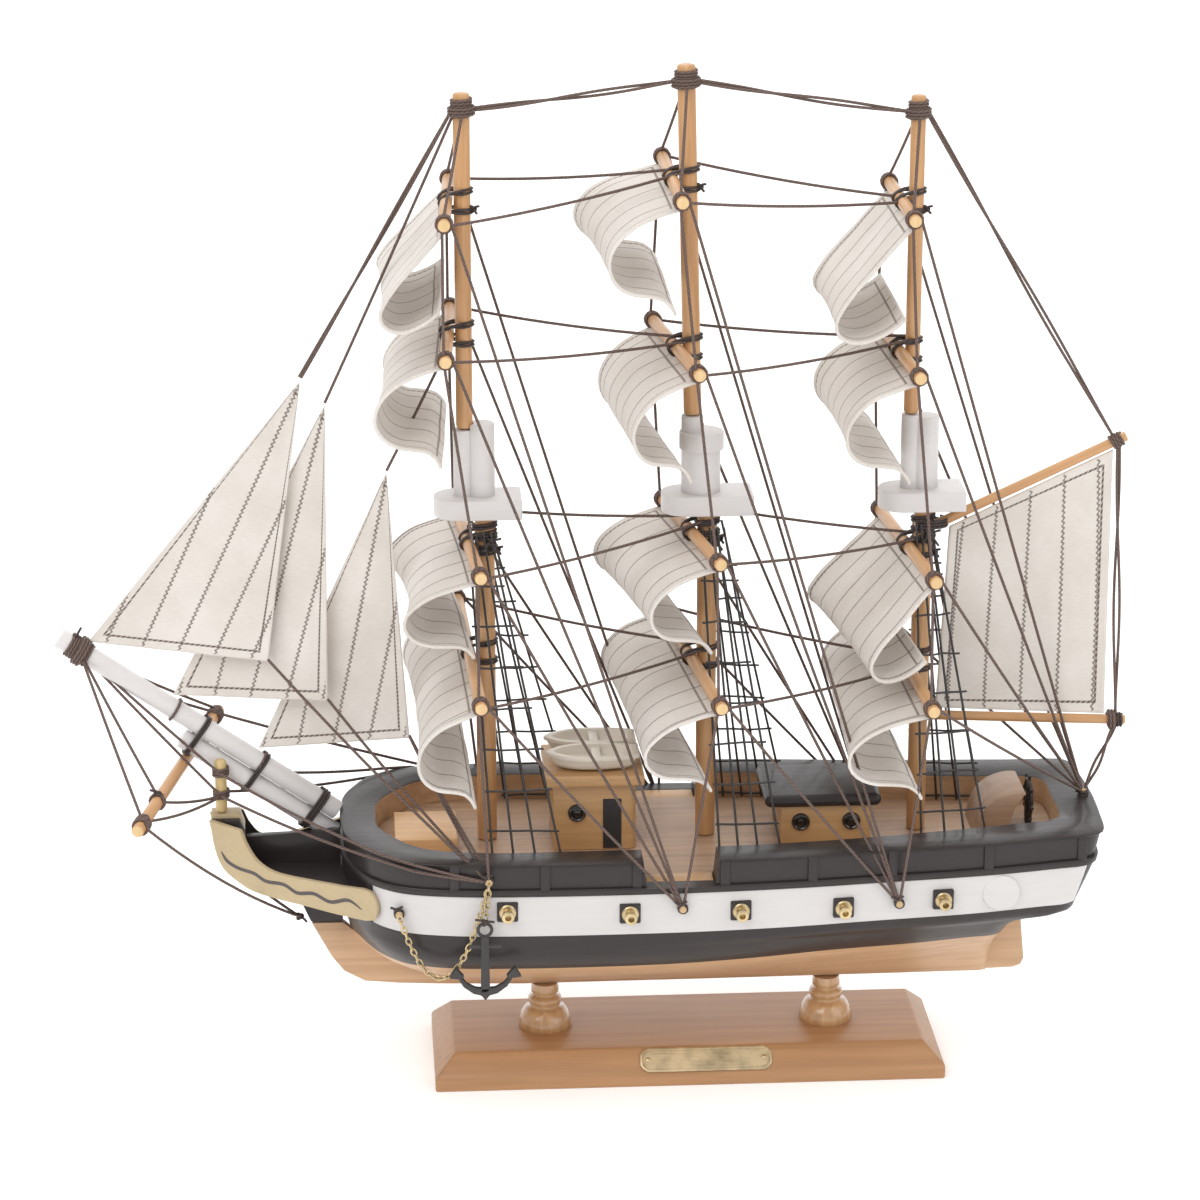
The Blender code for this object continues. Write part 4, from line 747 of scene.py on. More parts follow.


# The deck is one board let into the bulwark, grey-brown wood darkened with painted shade, with a bare tongue
# in each waist gap. The fore hatch is a plain block glued on it, and the companion hood curves over towards
# the wheel.

# the deck's own grey-brown wood, made darker with painted shade for the bulwark's well round it
shaded_deck_wood = block_wood("shaded_deck_wood", (0.56, 0.36, 0.225), (0.32, 0.215, 0.145), "X", 0.5, 0.1)
light_wood = block_wood("light_wood", (0.70, 0.43, 0.21), (0.56, 0.32, 0.145), "X", 0.45, 0.12)
DECK_THICK, DECK_GAP = 1.8, 0.3
board = loft([well_ring(z, DECK_GAP) for z in (DECK_TOP - DECK_THICK, DECK_TOP)], strips=True)
finished(board, "deck_board", shaded_deck_wood, "honey_wood", "deck")
for side, side_name in SIDE_NAMES.items():
    tongue = side_block(side, (WAIST_FORE + DECK_GAP, WAIST_AFT - DECK_GAP), (31.5, WAIST_MARGIN - DECK_GAP),
                        (70.4, DECK_TOP - 0.01), 0.2)
    finished(tongue, "deck_tongue_" + side_name, light_wood, "honey_wood")
HATCH_LOW, HATCH_HIGH = (-60.7, -11.9, 71.4), (-41.9, 11.9, 76.7)
finished(add_block(HATCH_LOW, HATCH_HIGH, 0.4, 3), "fore_hatch", light_wood, "honey_wood")

# front of the hood, distance aft and height, then its hollow back
HOOD_FRONT = ((114.3, 71.5), (115.3, 76.0), (116.3, 79.3), (118.0, 82.0), (120.6, 84.2), (124.0, 85.7),
              (127.0, 86.3), (129.6, 86.2))
HOOD_BACK = ((129.9, 85.9), (129.2, 85.3), (126.4, 81.0), (124.8, 75.8), (123.6, 71.5))
HOOD_HALF = 10.0
hood_line = [(p.x, p.y) for p in curve_through([(x, z, 0) for x, z in HOOD_FRONT], 4)]
hood = standing_plate(hood_line + list(HOOD_BACK), -HOOD_HALF, HOOD_HALF, 0.25)
hood_wood = block_wood("hood_wood", (0.40, 0.26, 0.17), (0.26, 0.155, 0.095), "X", 0.5, 0.1)
finished(hood, "companion_hood", hood_wood, "honey_wood", angle=40)

# The wheel: a hoop on eight spokes whose handles pass its rim, on a short post, all painted black

WHEEL, WHEEL_RIM, RIM_WIRE, SPOKE_REACH = Vector((132.3, 0, 81.2)), 5.55, 0.62, 7.6
SPOKES, FIRST_SPOKE = 8, math.radians(8)
HANDLE_PROFILE = ((0.0, 1.0), (0.5, 1.0), (0.42, 4.6), (0.6, 5.0), (0.6, 6.1), (0.4, 6.3), (0.62, 6.7),
                  (0.6, 7.3), (0.3, SPOKE_REACH), (0.0, SPOKE_REACH))
HUB_PROFILE = ((0.0, -0.9), (1.2, -0.9), (1.9, -0.6), (1.9, 0.6), (1.2, 0.9), (0.0, 0.9))


def add_hoop(middle, radius, wire, segments, sides, turn):
    """A ring of round wire, turned from lying flat."""
    bpy.ops.object.select_all(action="DESELECT")
    bpy.ops.mesh.primitive_torus_add(major_segments=segments, minor_segments=sides, major_radius=radius * MM,
                                     minor_radius=wire * MM, location=middle * MM, rotation=turn)
    return bpy.context.object


hoop = add_hoop(WHEEL, WHEEL_RIM, RIM_WIRE, 64, 14, (0, math.radians(90), 0))
finished(hoop, "wheel_hoop", black_gloss, "black_paint", "ships_wheel")
to_wheel = Matrix.Translation(WHEEL * MM)
for number in range(SPOKES):
    spoke = add_turned(HANDLE_PROFILE, segments=14)
    spoke.matrix_world = to_wheel @ Matrix.Rotation(FIRST_SPOKE + 2 * math.pi * number / SPOKES, 4, "X")
    finished(spoke, f"wheel_spoke_{number + 1}", black_gloss, "black_paint")
hub = add_turned(HUB_PROFILE, segments=32)
hub.matrix_world = to_wheel @ Matrix.Rotation(math.radians(90), 4, "Y")
finished(hub, "wheel_hub", black_gloss, "black_paint")
POST_LOW, POST_HIGH = (131.3, -1.4, 73.2), (133.3, 1.4, 80.6)
finished(add_block(POST_LOW, POST_HIGH, 0.3), "wheel_post", black_gloss, "black_paint")


# The beakhead: two tan boards run from the stem head to the hull's sides, joined by a block in front. Their
# inner sides and the knee between them are black, and a wavy line is brushed on the outside of each.

tan_paint = brushed_paint("tan_paint", (0.50, 0.39, 0.23), 0.5, 0.05, depth=0.00004, spread=0.06)
HEAD_FORE, HEAD_AFT, BOARD_HALF, HEAD_TOP = (-114.0, 4.2), (-67.0, 34.5), 0.8, 82.3
# distance aft, height along a board
BOARD_OUTLINE = ((-115.9, 81.2), (-115.3, 78.7), (-114.3, 72.5), (-111.9, 66.6), (-107.3, 63.2),
                 (-102.8, 61.3), (-95.0, 60.5), (-87.5, 60.3), (-76.3, 59.8), (-67.3, 60.4), (-66.2, 62.8),
                 (-66.2, 65.8), (-68.4, 69.3), (-76.1, 69.1), (-87.3, 68.7), (-95.5, 68.7), (-99.5, 69.8),
                 (-102.5, 72.0), (-105.1, 76.2), (-106.5, 80.0))
HEAD_BLOCK = ((-115.6, 80.5), (-110.0, 66.0), (-105.9, 66.0), (-105.6, 78.0), (-107.0, HEAD_TOP),
              (-115.6, HEAD_TOP))
head_slope = (HEAD_AFT[1] - HEAD_FORE[1]) / (HEAD_AFT[0] - HEAD_FORE[0])
outboard = Vector((-head_slope, 1, 0)).normalized()


def on_board(x, z, side, out):
    """A point beside a board, a distance out from its middle."""
    y = HEAD_FORE[1] + (x - HEAD_FORE[0]) * head_slope
    return Vector((x + out * outboard.x, side * (y + out * outboard.y), z))


smooth_outline = [(p.x, p.y) for p in curve_through([(x, z, 0) for x, z in BOARD_OUTLINE[1:-1]], 3)]
outline = [BOARD_OUTLINE[0]] + smooth_outline + [BOARD_OUTLINE[-1]]
for side, side_name in SIDE_NAMES.items():
    board = loft([[on_board(x, z, side, out) for x, z in outline] for out in (-BOARD_HALF, BOARD_HALF)])
    modified(board, "BEVEL", width=0.2 * MM, segments=2, limit_method="ANGLE", angle_limit=math.radians(40))
    nodes = ("head_boards",) if side == PORT else ()
    finished(board, "head_board_" + side_name, tan_paint, "tan_paint", *nodes, angle=40)
    board.data.materials.append(black_gloss)
    for face in board.data.polygons:
        inward = face.normal.y * side < -0.7
        face.material_index = 1 if inward else 0
# name, the two distances to port, how far its top is sunk, finish
for name, low, high, sunk, material, slot in (("head_block", -4.4, 1.5, 0.0, tan_paint, "tan_paint"),
                                              ("head_gap", 1.5, 3.8, 1.3, black_gloss, "black_paint")):
    block = standing_plate([(x, min(z, HEAD_TOP - sunk)) for x, z in HEAD_BLOCK], low, high, 0.2)
    finished(block, name, material, slot)
# the floor between the boards: distance aft and half breadth
HEAD_FLOOR, FLOOR_LOW, FLOOR_HIGH = ((-105.0, 7.6), (-90.0, 17.6), (-77.0, 26.0), (-70.0, 27.5)), 64.6, 66.2
floor_outline = [(x, -y) for x, y in HEAD_FLOOR] + [(x, y) for x, y in reversed(HEAD_FLOOR)]
finished(add_plate(floor_outline, FLOOR_LOW, FLOOR_HIGH, 0.1), "head_floor", black_gloss, "black_paint")

# The brushed line swells in the middle and tapers away at both ends
WAVY_LINE = ((-112.3, 72.1), (-110.7, 69.5), (-107.4, 67.9), (-102.4, 67.2), (-99.1, 65.6), (-93.5, 65.7),
             (-89.7, 64.0), (-84.7, 64.9), (-79.9, 63.4), (-74.4, 65.2), (-70.6, 63.2))
LINE_THIN, LINE_SWELL = 0.12, 0.52
# the line's section: share of its half width, how far it stands out
LINE_SECTION = ((-1, 0), (-0.7, 0.16), (0.7, 0.16), (1, 0))
line_brown = brushed_paint("line_brown", (0.085, 0.068, 0.066), 0.5, 0.1, depth=0.00002)
line = curve_through([(x, 0, z) for x, z in WAVY_LINE], 6)
for side, side_name in SIDE_NAMES.items():
    sections = []
    for k, p in enumerate(line):
        run = (line[min(k + 1, len(line) - 1)] - line[max(k - 1, 0)]).normalized()
        square = Vector((-run.z, 0, run.x))
        share = k / (len(line) - 1)
        half = LINE_THIN + LINE_SWELL * min(1.0, 9 * share, 9 * (1 - share)) ** 0.7
        spots = [(p + square * half * s, out) for s, out in LINE_SECTION]
        sections.append([on_board(q.x, q.z, side, BOARD_HALF - 0.05 + out) for q, out in spots]
                        + [on_board(p.x, p.z, side, BOARD_HALF - 0.3)])
    finished(loft(sections), "wavy_line_" + side_name, line_brown, "black_paint")

KNEE_OUTLINE = ((-105.2, 74.9), (-105.5, 66.2), (-104.0, 63.0), (-99.0, 58.9), (-91.5, 54.8), (-88.7, 52.0),
                (-86.4, 46.7), (-76.7, 46.7), (-77.2, 76.5), (-84.3, 75.6))
knee = standing_plate(KNEE_OUTLINE, -KEEL_HALF, KEEL_HALF, 0.25)
finished(knee, "head_knee_plank", black_gloss, "black_paint", "head_knee")


# The bow post is a bare dowel stepped on the head block. The bowsprit and the jib boom above it are white
# dowels lashed side by side, and the spritsail yard is lashed under them.

def dowel_wood(name, light, dark, roughness, coat):
    """A stained dowel, whose grain follows its own UV map."""
    finish = Finish(name, Coat_Roughness=0.15)
    turn, along = finish.uv("wrap")
    angle = turn * (2 * math.pi)
    round_x, round_y = angle.reckon("COSINE"), angle.reckon("SINE")
    grain = finish.noise(finish.vector(round_x * 1.3, round_y * 1.3, along * 24.0), 1.0, 5.0, 0.5)
    pores = finish.noise(finish.vector(round_x * 9.0, round_y * 9.0, along * 150.0), 1.0, 2.0)
    cloud = finish.noise(finish.place(), 16.0, 2.0)
    return stained(finish, (grain, cloud, pores), light, dark, (0.32, 0.5, 0.66), roughness, coat, 0.00005)


mast_wood = dowel_wood("mast_wood", (0.63, 0.36, 0.165), (0.43, 0.215, 0.085), 0.42, 0.15)
end_grain = block_wood("end_grain", (0.78, 0.57, 0.30), (0.60, 0.40, 0.19), "Z", 0.55, 0.0)
post_wood = dowel_wood("post_wood", (0.62, 0.47, 0.22), (0.50, 0.34, 0.14), 0.45, 0.1)
spar_white = brushed_paint("spar_white", (0.66, 0.63, 0.62), 0.42, 0.1, depth=0.00003, spread=0.03)


def stained_spar(name, start, end, radius, node):
    """A stained dowel whose sawn ends are bare."""
    start, end = Vector(start), Vector(end)
    spar = finished(add_dowel(start, end, radius), name, mast_wood, "honey_wood", node)
    spar.data.materials.append(end_grain)
    for face in spar.data.polygons:
        if abs(face.normal.dot((end - start).normalized())) > 0.9:
            face.material_index = 1


BOW_POST, POST_RADIUS = ((-112.4, 0, HEAD_TOP + 0.3), (-112.4, 0, 99.3)), 1.75
post = add_dowel(*BOW_POST, POST_RADIUS, 0.9)
finished(post, "bow_post_dowel", post_wood, "honey_wood", "bow_post", angle=60)
SPAR_RADIUS, SPAR_SIDE, YARD_RADIUS = 3.0, 5.1, 1.8
JIB_BOOM = ((-159.0, SPAR_SIDE, 137.0), (-77.7, SPAR_SIDE, 80.2))
BOWSPRIT = ((-123.8, SPAR_SIDE, 104.6), (-78.6, SPAR_SIDE, 73.1))
SPRITSAIL_YARD = ((-134.8, -52.0, 96.8), (-114.1, 47.0, 98.5))
for name, ends in (("jib_boom", JIB_BOOM), ("bowsprit", BOWSPRIT)):
    finished(add_dowel(*ends, SPAR_RADIUS, 0.3, 48), name + "_spar", spar_white, "white_paint", name)
stained_spar("spritsail_spar", *SPRITSAIL_YARD, YARD_RADIUS, "spritsail_yard")


# Each mast is a lower dowel that carries a white-painted top, and an upper dowel stepped into posts on it.

LOWER_TOP, TOP_UNDER, TOP_FLOOR, TOP_HALF, STEP_DEPTH = 174.2, 174.5, 180.5, 7.5, 10.0
# lower mast x, radius, upper mast x at its heel, x at its head, heel z, head z, radius, top fore x, aft x
MASTS = {"fore": (-32.6, 2.95, -38.2, -38.2, 200.9, 299.9, 2.45, -47.6, -21.7),
         "main": (33.4, 2.95, 28.8, 26.2, 204.0, 307.4, 2.65, 19.6, 46.6),
         "mizzen": (97.8, 2.8, 93.4, 93.4, 203.2, 297.7, 2.2, 84.1, 109.5)}
# post x, radius, top z
TOP_POSTS = {"fore": ((-38.6, 3.0, 200.6), (-33.4, 4.0, 202.3)),
             "main": ((31.5, 5.6, 194.0), (28.7, 3.2, 203.7)),
             "mizzen": ((93.6, 3.0, 202.9), (98.0, 3.8, 202.4))}
COLLAR_LOW, COLLAR_HIGH, COLLAR_RADIUS, FRONT_STEPS = 193.5, 198.8, 6.6, 32

for name, (lower_x, lower_radius, heel_x, head_x, heel, head, radius, fore, aft) in MASTS.items():
    lower = add_dowel((lower_x, 0, DECK_TOP + sheer(lower_x) + 0.3), (lower_x, 0, LOWER_TOP), lower_radius)
    finished(lower, name + "_lower_dowel", mast_wood, "honey_wood", name + "_lower_mast")
    turns = [math.pi * k / FRONT_STEPS for k in range(FRONT_STEPS + 1)]
    front = [(fore + TOP_HALF - TOP_HALF * math.sin(turn), -TOP_HALF * math.cos(turn)) for turn in turns]
    floor_plate = add_plate([(aft, -TOP_HALF)] + front + [(aft, TOP_HALF)], TOP_UNDER, TOP_FLOOR, 0.35, 3)
    finished(floor_plate, name + "_top_floor", spar_white, "white_paint", name + "_top")
    posts = [(x, radius_there, TOP_FLOOR - 1, top) for x, radius_there, top in TOP_POSTS[name]]
    if name == "main":
        posts.append((posts[0][0], COLLAR_RADIUS, COLLAR_LOW, COLLAR_HIGH))
    for number, (x, radius_there, low, high) in enumerate(posts):
        post = add_dowel((x, 0, low), (x, 0, high), radius_there, 0.35, 40)
        step = add_dowel((heel_x, 0, heel - 0.3), (heel_x, 0, heel + STEP_DEPTH), radius + 0.3, 0, 40)
        cut_away(post, step)
        finished(post, f"{name}_top_post_{number + 1}", spar_white, "white_paint")
    upper = add_dowel((heel_x, 0, heel), (head_x, 0, head), radius, 0.8)
    finished(upper, name + "_upper_dowel", mast_wood, "honey_wood", name + "_upper_mast")


# The yards are dowels with bare sawn ends, lashed across the front of the masts and braced round a little.

def mast_at(name, z):
    """Distance aft and radius of a mast at a height."""
    lower_x, lower_radius, heel_x, head_x, heel, head, radius = MASTS[name][:7]
    if z < LOWER_TOP:
        return lower_x, lower_radius
    return heel_x + (head_x - heel_x) * (z - heel) / (head - heel), radius


# mast, yard, height, half length, angle
YARDS = (("fore", "royal", 268.7, 34.0, -2.7), ("fore", "topgallant", 229.5, 35.0, -2.7),
         ("fore", "topsail", 166.2, 38.0, 4.0), ("fore", "course", 132.2, 53.6, 2.0),
         ("main", "royal", 274.3, 34.3, 0.6), ("main", "topgallant", 224.5, 35.2, 7.1),
         ("main", "topsail", 168.3, 36.2, 9.5), ("main", "course", 129.4, 50.2, 6.0),
         ("mizzen", "royal", 266.9, 28.8, 0.3), ("mizzen", "topgallant", 222.5, 35.0, 3.0),
         ("mizzen", "topsail", 162.8, 39.6, 5.0), ("mizzen", "course", 127.0, 50.0, 2.5))
yard_places = {}
for mast, yard, z, half, angle in YARDS:
    mast_x, mast_radius = mast_at(mast, z)
    centre = Vector((mast_x - (mast_radius + YARD_RADIUS + 0.3) / math.cos(math.radians(angle)), 0, z))
    reach = Vector((-math.sin(math.radians(angle)), math.cos(math.radians(angle)), 0)) * half
    yard_places[mast, yard] = (centre, reach)
    name = f"{mast}_{yard}"
    stained_spar(name + "_spar", centre - reach, centre + reach, YARD_RADIUS, name + "_yard")


# The square sails are stiffened cotton, sewn in panels and hemmed over a cord. Each swings forward from its
# yard, bellies, and curls back at the foot as it was set by the maker.

# these are in metres, as the cloth's UV maps are
WEAVE_PITCH, ZIGZAG_PITCH, DASH_PITCH, HEM_LINE_IN = 0.00045, 0.0015, 0.0016, 0.003
# half width of a seam's line, and how soft its edge is
SEAM_EDGE = (0.00032, 0.0002)


def canvas_cloth(name, pitch, zigzag, seam_dark):
    """Cotton with a weave, panel seams a pitch apart and a row of stitches inside the hem."""
    finish = Finish(name, Roughness=0.92)
    finish.shader.inputs["Sheen Weight"].default_value = 0.15
    across, down = finish.uv("cloth")
    side_edge, end_edge = finish.uv("hem")
    weave = across.bands(WEAVE_PITCH) / WEAVE_PITCH + down.bands(WEAVE_PITCH) / WEAVE_PITCH
    shift = (down.bands(ZIGZAG_PITCH) - ZIGZAG_PITCH / 4) * (1.0 if zigzag else 0.25)
    seam = (across + shift).bands(pitch).below(*SEAM_EDGE)
    inside = side_edge.reckon("MINIMUM", end_edge)
    hem_line = (inside - HEM_LINE_IN).reckon("ABSOLUTE").below(*SEAM_EDGE)
    dashes = ((across + down).bands(DASH_PITCH) / (DASH_PITCH / 2)).below(0.72, 0.3)
    off_edge = inside.below(0.0006, 0.0004).reckon("MULTIPLY_ADD", -1.0, 1.0)
    seam = seam * (0.55 + finish.noise(finish.place(), 900.0) * 0.5) * off_edge
    line = seam.reckon("MAXIMUM", hem_line * (0.35 + dashes * 0.65))
    cloud = finish.noise(finish.place(), 55.0, 3.0)
    slub = finish.noise(finish.vector(across * 400.0, down * 3500.0, 0.0), 1.0, 2.0)
    cloth = finish.ramp(cloud * 0.6 + slub * 0.4, (0.34, (0.61, 0.555, 0.50)), (0.64, (0.71, 0.665, 0.62)))
    finish.feed(Base_Color=finish.blend(line * seam_dark, cloth, (0.10, 0.065, 0.05)))
    finish.relief(weave * 0.35 + slub * 0.4 - line * 1.2, 0.00012)
    return finish.material


# distance from the edge, thickness there
HEM = ((0.0, 0.45), (0.3, 1.0), (0.9, 0.95), (1.4, 0.62), (2.8, 0.62), (3.3, 0.42))


def spread(length, pitch=2.0):
    """Distances along a cloth: close together in its hems and a pitch apart between them."""
    inner = length - 2 * HEM[-1][0]
    count = max(2, round(inner / pitch))
    middle = [HEM[-1][0] + inner * k / count for k in range(1, count)]
    return [d for d, _ in HEM] + middle + [length - d for d, _ in reversed(HEM)]


WRINKLE = 0.35


def sewn(name, rows, downs, acrosses, widths, material, node, rests_on):
    """A hemmed cloth over a grid of points. Downs and acrosses are the distances of its rows and columns."""
    high, wide = len(rows), len(rows[0])
    seed = sum(ord(letter) for letter in name) * 0.37
    points, marks, skin = [], [], {}
    for i in range(high):
        for j in range(wide):
            down = rows[min(i + 1, high - 1)][j] - rows[max(i - 1, 0)][j]
            along = rows[i][min(j + 1, wide - 1)] - rows[i][max(j - 1, 0)]
            spot = Vector((acrosses[j] / 17, downs[i] / 13, seed))
            lift = WRINKLE * (noise.noise(spot) + 0.3 * noise.noise(spot * 3))
            skin[i, j] = down.cross(along).normalized(), lift
    for face in (-1, 1):
        for i in range(high):
            for j in range(wide):
                out, lift = skin[i, j]
                side = min(acrosses[j], acrosses[-1] - acrosses[j])
                end = min(downs[i], downs[-1] - downs[i])
                thick = read_off(HEM, min(side, end), HEM[-1][1])
                points.append(rows[i][j] + out * (face * thick / 2 + lift))
                share = acrosses[j] / acrosses[-1] - 0.5
                marks.append((share * widths[i], downs[i], side, end))
    faces = []
    for face in (0, high * wide):
        for i in range(high - 1):
            for j in range(wide - 1):
                corner = face + i * wide + j
                quad = (corner, corner + 1, corner + wide + 1, corner + wide)
                faces.append(quad if face else tuple(reversed(quad)))
    rim = list(range(wide)) + [i * wide + wide - 1 for i in range(1, high)]
    rim += [(high - 1) * wide + j for j in range(wide - 2, -1, -1)]
    rim += [i * wide for i in range(high - 2, 0, -1)]
    for a, b in zip(rim, rim[1:] + rim[:1]):
        faces.append((a, b, b + high * wide, a + high * wide))
    piece = poured("cloth", points, faces)
    for layer_name, first in (("cloth", 0), ("hem", 2)):
        layer = piece.data.uv_layers.new(name=layer_name)
        for loop in piece.data.loops:
            mark = marks[loop.vertex_index]
            layer.data[loop.index].uv = (mark[first] * MM, mark[first + 1] * MM)
    finished(faces_outward(piece), name, material, "canvas", node, angle=80)
    flat = sum(widths) / len(widths) * MM, downs[-1] * MM


def placed(points, distances):
    """Points at distances along a curve."""
    out, at, gone = [], 0, 0.0
    step = (points[1] - points[0]).length
    for want in distances:
        while at < len(points) - 2 and gone + step < want:
            gone, at = gone + step, at + 1
            step = (points[at + 1] - points[at]).length
        out.append(points[at].lerp(points[at + 1], (want - gone) / step))
    return out


CURL = ((0.0, 0.0), (0.13, 0.02), (0.35, 0.07), (0.62, 0.15), (0.85, 0.28), (0.98, 0.43), (0.99, 0.58),
        (0.88, 0.72), (0.68, 0.80), (0.45, 0.82), (0.25, 0.85), (0.14, 0.92), (0.08, 1.0))
SCOOP = ((0.0, 0.0), (0.12, 0.08), (0.33, 0.24), (0.56, 0.42), (0.77, 0.58), (0.92, 0.72), (1.0, 0.84),
         (0.95, 0.94), (0.80, 1.0), (0.60, 1.0), (0.40, 0.95), (0.22, 0.88), (0.08, 0.80))
# mast, sail, profile, half width at the foot, port depth, drop, starboard depth, drop, share left amidships
SAILS = (("fore", "royal", SCOOP, 31.0, 18.5, 29.0, 21.5, 27.0, 0.95),
         ("fore", "topgallant", CURL, 31.0, 20.5, 29.7, 20.0, 28.0, 0.95),
         ("fore", "topsail", CURL, 34.0, 22.0, 23.0, 21.0, 23.0, 0.84),
         ("fore", "course", CURL, 46.0, 18.0, 30.8, 17.0, 28.0, 0.90),
         ("main", "royal", CURL, 31.0, 20.5, 30.7, 26.0, 28.0, 0.95),
         ("main", "topgallant", CURL, 31.0, 18.5, 30.4, 16.5, 30.0, 1.0),
         ("main", "topsail", CURL, 33.0, 20.0, 25.6, 21.5, 25.0, 0.95),
         ("main", "course", CURL, 45.0, 21.8, 24.7, 18.6, 24.0, 0.95),
         ("mizzen", "royal", SCOOP, 27.0, 22.0, 33.2, 22.0, 32.0, 0.95),
         ("mizzen", "topgallant", CURL, 31.0, 20.4, 29.9, 19.0, 29.0, 0.95),
         ("mizzen", "topsail", SCOOP, 36.0, 18.0, 28.2, 22.0, 27.0, 0.95),
         ("mizzen", "course", CURL, 45.0, 24.0, 26.2, 17.0, 25.0, 0.95))
HEAD_INSET, HEAD_DROP = 3.0, YARD_RADIUS + 0.55
square_canvas = canvas_cloth("square_canvas", 0.0112, False, 0.85)
for mast, sail, profile, foot_half, near_depth, near_drop, far_depth, far_drop, middle_share in SAILS:
    name = f"{mast}_{sail}"
    centre, reach = yard_places[mast, sail]
    along_yard, forward = reach.normalized(), Vector((-reach.y, reach.x, 0)).normalized()
    head_half = reach.length - HEAD_INSET
    mean_depth, mean_drop = (near_depth + far_depth) / 2, (near_drop + far_drop) / 2
    fall = curve_through([(a * mean_depth, b * mean_drop, 0) for a, b in profile], 8)
    length = sum((b - a).length for a, b in zip(fall, fall[1:]))
    downs, acrosses = spread(length), spread(head_half + foot_half)
    rows, widths = [], []
    for p in placed(fall, downs):
        depth_share, drop_share = p.x / mean_depth, p.y / mean_drop
        half = head_half + (foot_half - head_half) * drop_share
        widths.append(2 * half)
        row = []
        for across in acrosses:
            span = 2 * across / acrosses[-1] - 1
            mix = (span + 1) / 2
            hollow = middle_share + (1 - middle_share) * span * span
            depth = (near_depth + (far_depth - near_depth) * mix) * hollow
            drop = near_drop + (far_drop - near_drop) * mix
            row.append(centre + along_yard * span * half + forward * depth * depth_share
                       - Vector((0, 0, HEAD_DROP + drop * drop_share)))
        rows.append(row)
    sewn(name + "_canvas", rows, downs, acrosses, widths, square_canvas, name + "_sail",
         [name + "_spar"])


# The spanker is sewn to the gaff and the boom, two thin dowels behind the mizzen mast.

GAFF_RADIUS = 1.45
GAFF, BOOM = ((101.6, 0, 168.6), (157.8, 0, 194.9)), ((101.0, 0, 108.6), (160.9, 0, 105.7))
for name, ends in (("gaff", GAFF), ("boom", BOOM)):
    stained_spar(name + "_spar", *ends, GAFF_RADIUS, name)


def flat_sail(name, corners, billow, rests_on, node):
    """A cloth stretched between four corners: head fore, head aft, foot aft, foot fore."""
    head_fore, head_aft, foot_aft, foot_fore = [Vector(c) for c in corners]
    height = ((foot_fore - head_fore).length + (foot_aft - head_aft).length) / 2
    wide = max((head_aft - head_fore).length, (foot_aft - foot_fore).length)
    downs, acrosses = spread(height), spread(wide)
    rows, widths = [], []
    for down in downs:
        fore, aft = head_fore.lerp(foot_fore, down / height), head_aft.lerp(foot_aft, down / height)
        widths.append((aft - fore).length)
        row = []
        for across in acrosses:
            belly = math.sin(math.pi * across / wide) * math.sin(math.pi * down / height)
            row.append(fore.lerp(aft, across / wide) + Vector((0, billow * belly, 0)))
        rows.append(row)
    sewn(name, rows, downs, acrosses, widths, flat_canvas, node, rests_on)


flat_canvas = canvas_cloth("flat_canvas", 0.011, True, 0.95)
SPANKER = ((105.7, 0, 168.0), (153.9, 0, 190.8), (154.4, 0, 107.9), (102.9, 0, 110.9))
flat_sail("spanker_canvas", SPANKER, 1.0, ["gaff_spar", "boom_spar"], "spanker")


# The three jibs stand on the jib boom, each hauled up towards the fore mast, its clew drawn to port.

CLEW_PULL = 6.0
# name, head (x, y, z), tack x, height of the tack over the jib boom's top, clew (x, z)
JIBS = (("outer", (-85.9, 2.0, 215.2), -150.5, 0.9, (-97.2, 132.0)),
        ("middle", (-78.9, 1.9, 207.8), -126.0, 0.7, (-79.8, 119.2)),
        ("inner", (-61.2, 1.0, 187.2), -101.0, 0.7, (-55.8, 107.0)))


def boom_top(x):
    """Height of the jib boom's upper side."""
    fore, aft = Vector(JIB_BOOM[0]), Vector(JIB_BOOM[1])
    slope = (aft.z - fore.z) / (aft.x - fore.x)
    return fore.z + slope * (x - fore.x) + SPAR_RADIUS * math.hypot(1, slope)


jib_corners = {}
for name, head, tack_x, tack_rise, clew in JIBS:
    head, tack = Vector(head), Vector((tack_x, SPAR_SIDE, boom_top(tack_x) + tack_rise))
    clew = Vector((clew[0], -CLEW_PULL, clew[1]))
    jib_corners[name] = head, tack, clew
    flat_sail(f"jib_{name}_canvas", (head, head.lerp(clew, 0.02), clew, tack), -1.5, ["jib_boom_spar"],
              "jib_" + name)


# The fore cabin is a plain block with a rounded corner, an overhanging roof slab, a black door and a glossy
# black porthole on each side.

cabin_wood = block_wood("cabin_wood", (0.60, 0.36, 0.165), (0.44, 0.25, 0.105), "X", 0.45, 0.12)
CABIN_FORE, CABIN_AFT, CABIN_HALF, CABIN_FOOT = -13.2, 11.7, 11.8, 72.2
ROUND, ROUND_STEPS = 2.5, 8
ROOF_LOW, ROOF_HIGH = (-15.6, -14.6, 93.2), (14.0, 14.6, 96.6)
turns = [math.pi / 2 * k / ROUND_STEPS for k in range(ROUND_STEPS + 1)]
corner = [(CABIN_AFT - ROUND + ROUND * math.sin(turn), -CABIN_HALF + ROUND - ROUND * math.cos(turn))
          for turn in turns]
cabin_plan = ([(CABIN_FORE, -CABIN_HALF)] + corner
              + [(x, -y) for x, y in reversed(corner)] + [(CABIN_FORE, CABIN_HALF)])
walls = add_plate(cabin_plan, CABIN_FOOT, ROOF_LOW[2], 0.15)
finished(walls, "fore_cabin_walls", cabin_wood, "honey_wood", "fore_cabin")
finished(add_block(ROOF_LOW, ROOF_HIGH, 0.5, 3), "fore_cabin_slab", cabin_wood, "honey_wood")
matte_black = brushed_paint("matte_black", (0.022, 0.020, 0.020), 0.6, 0.0, "Z", 0.00004)
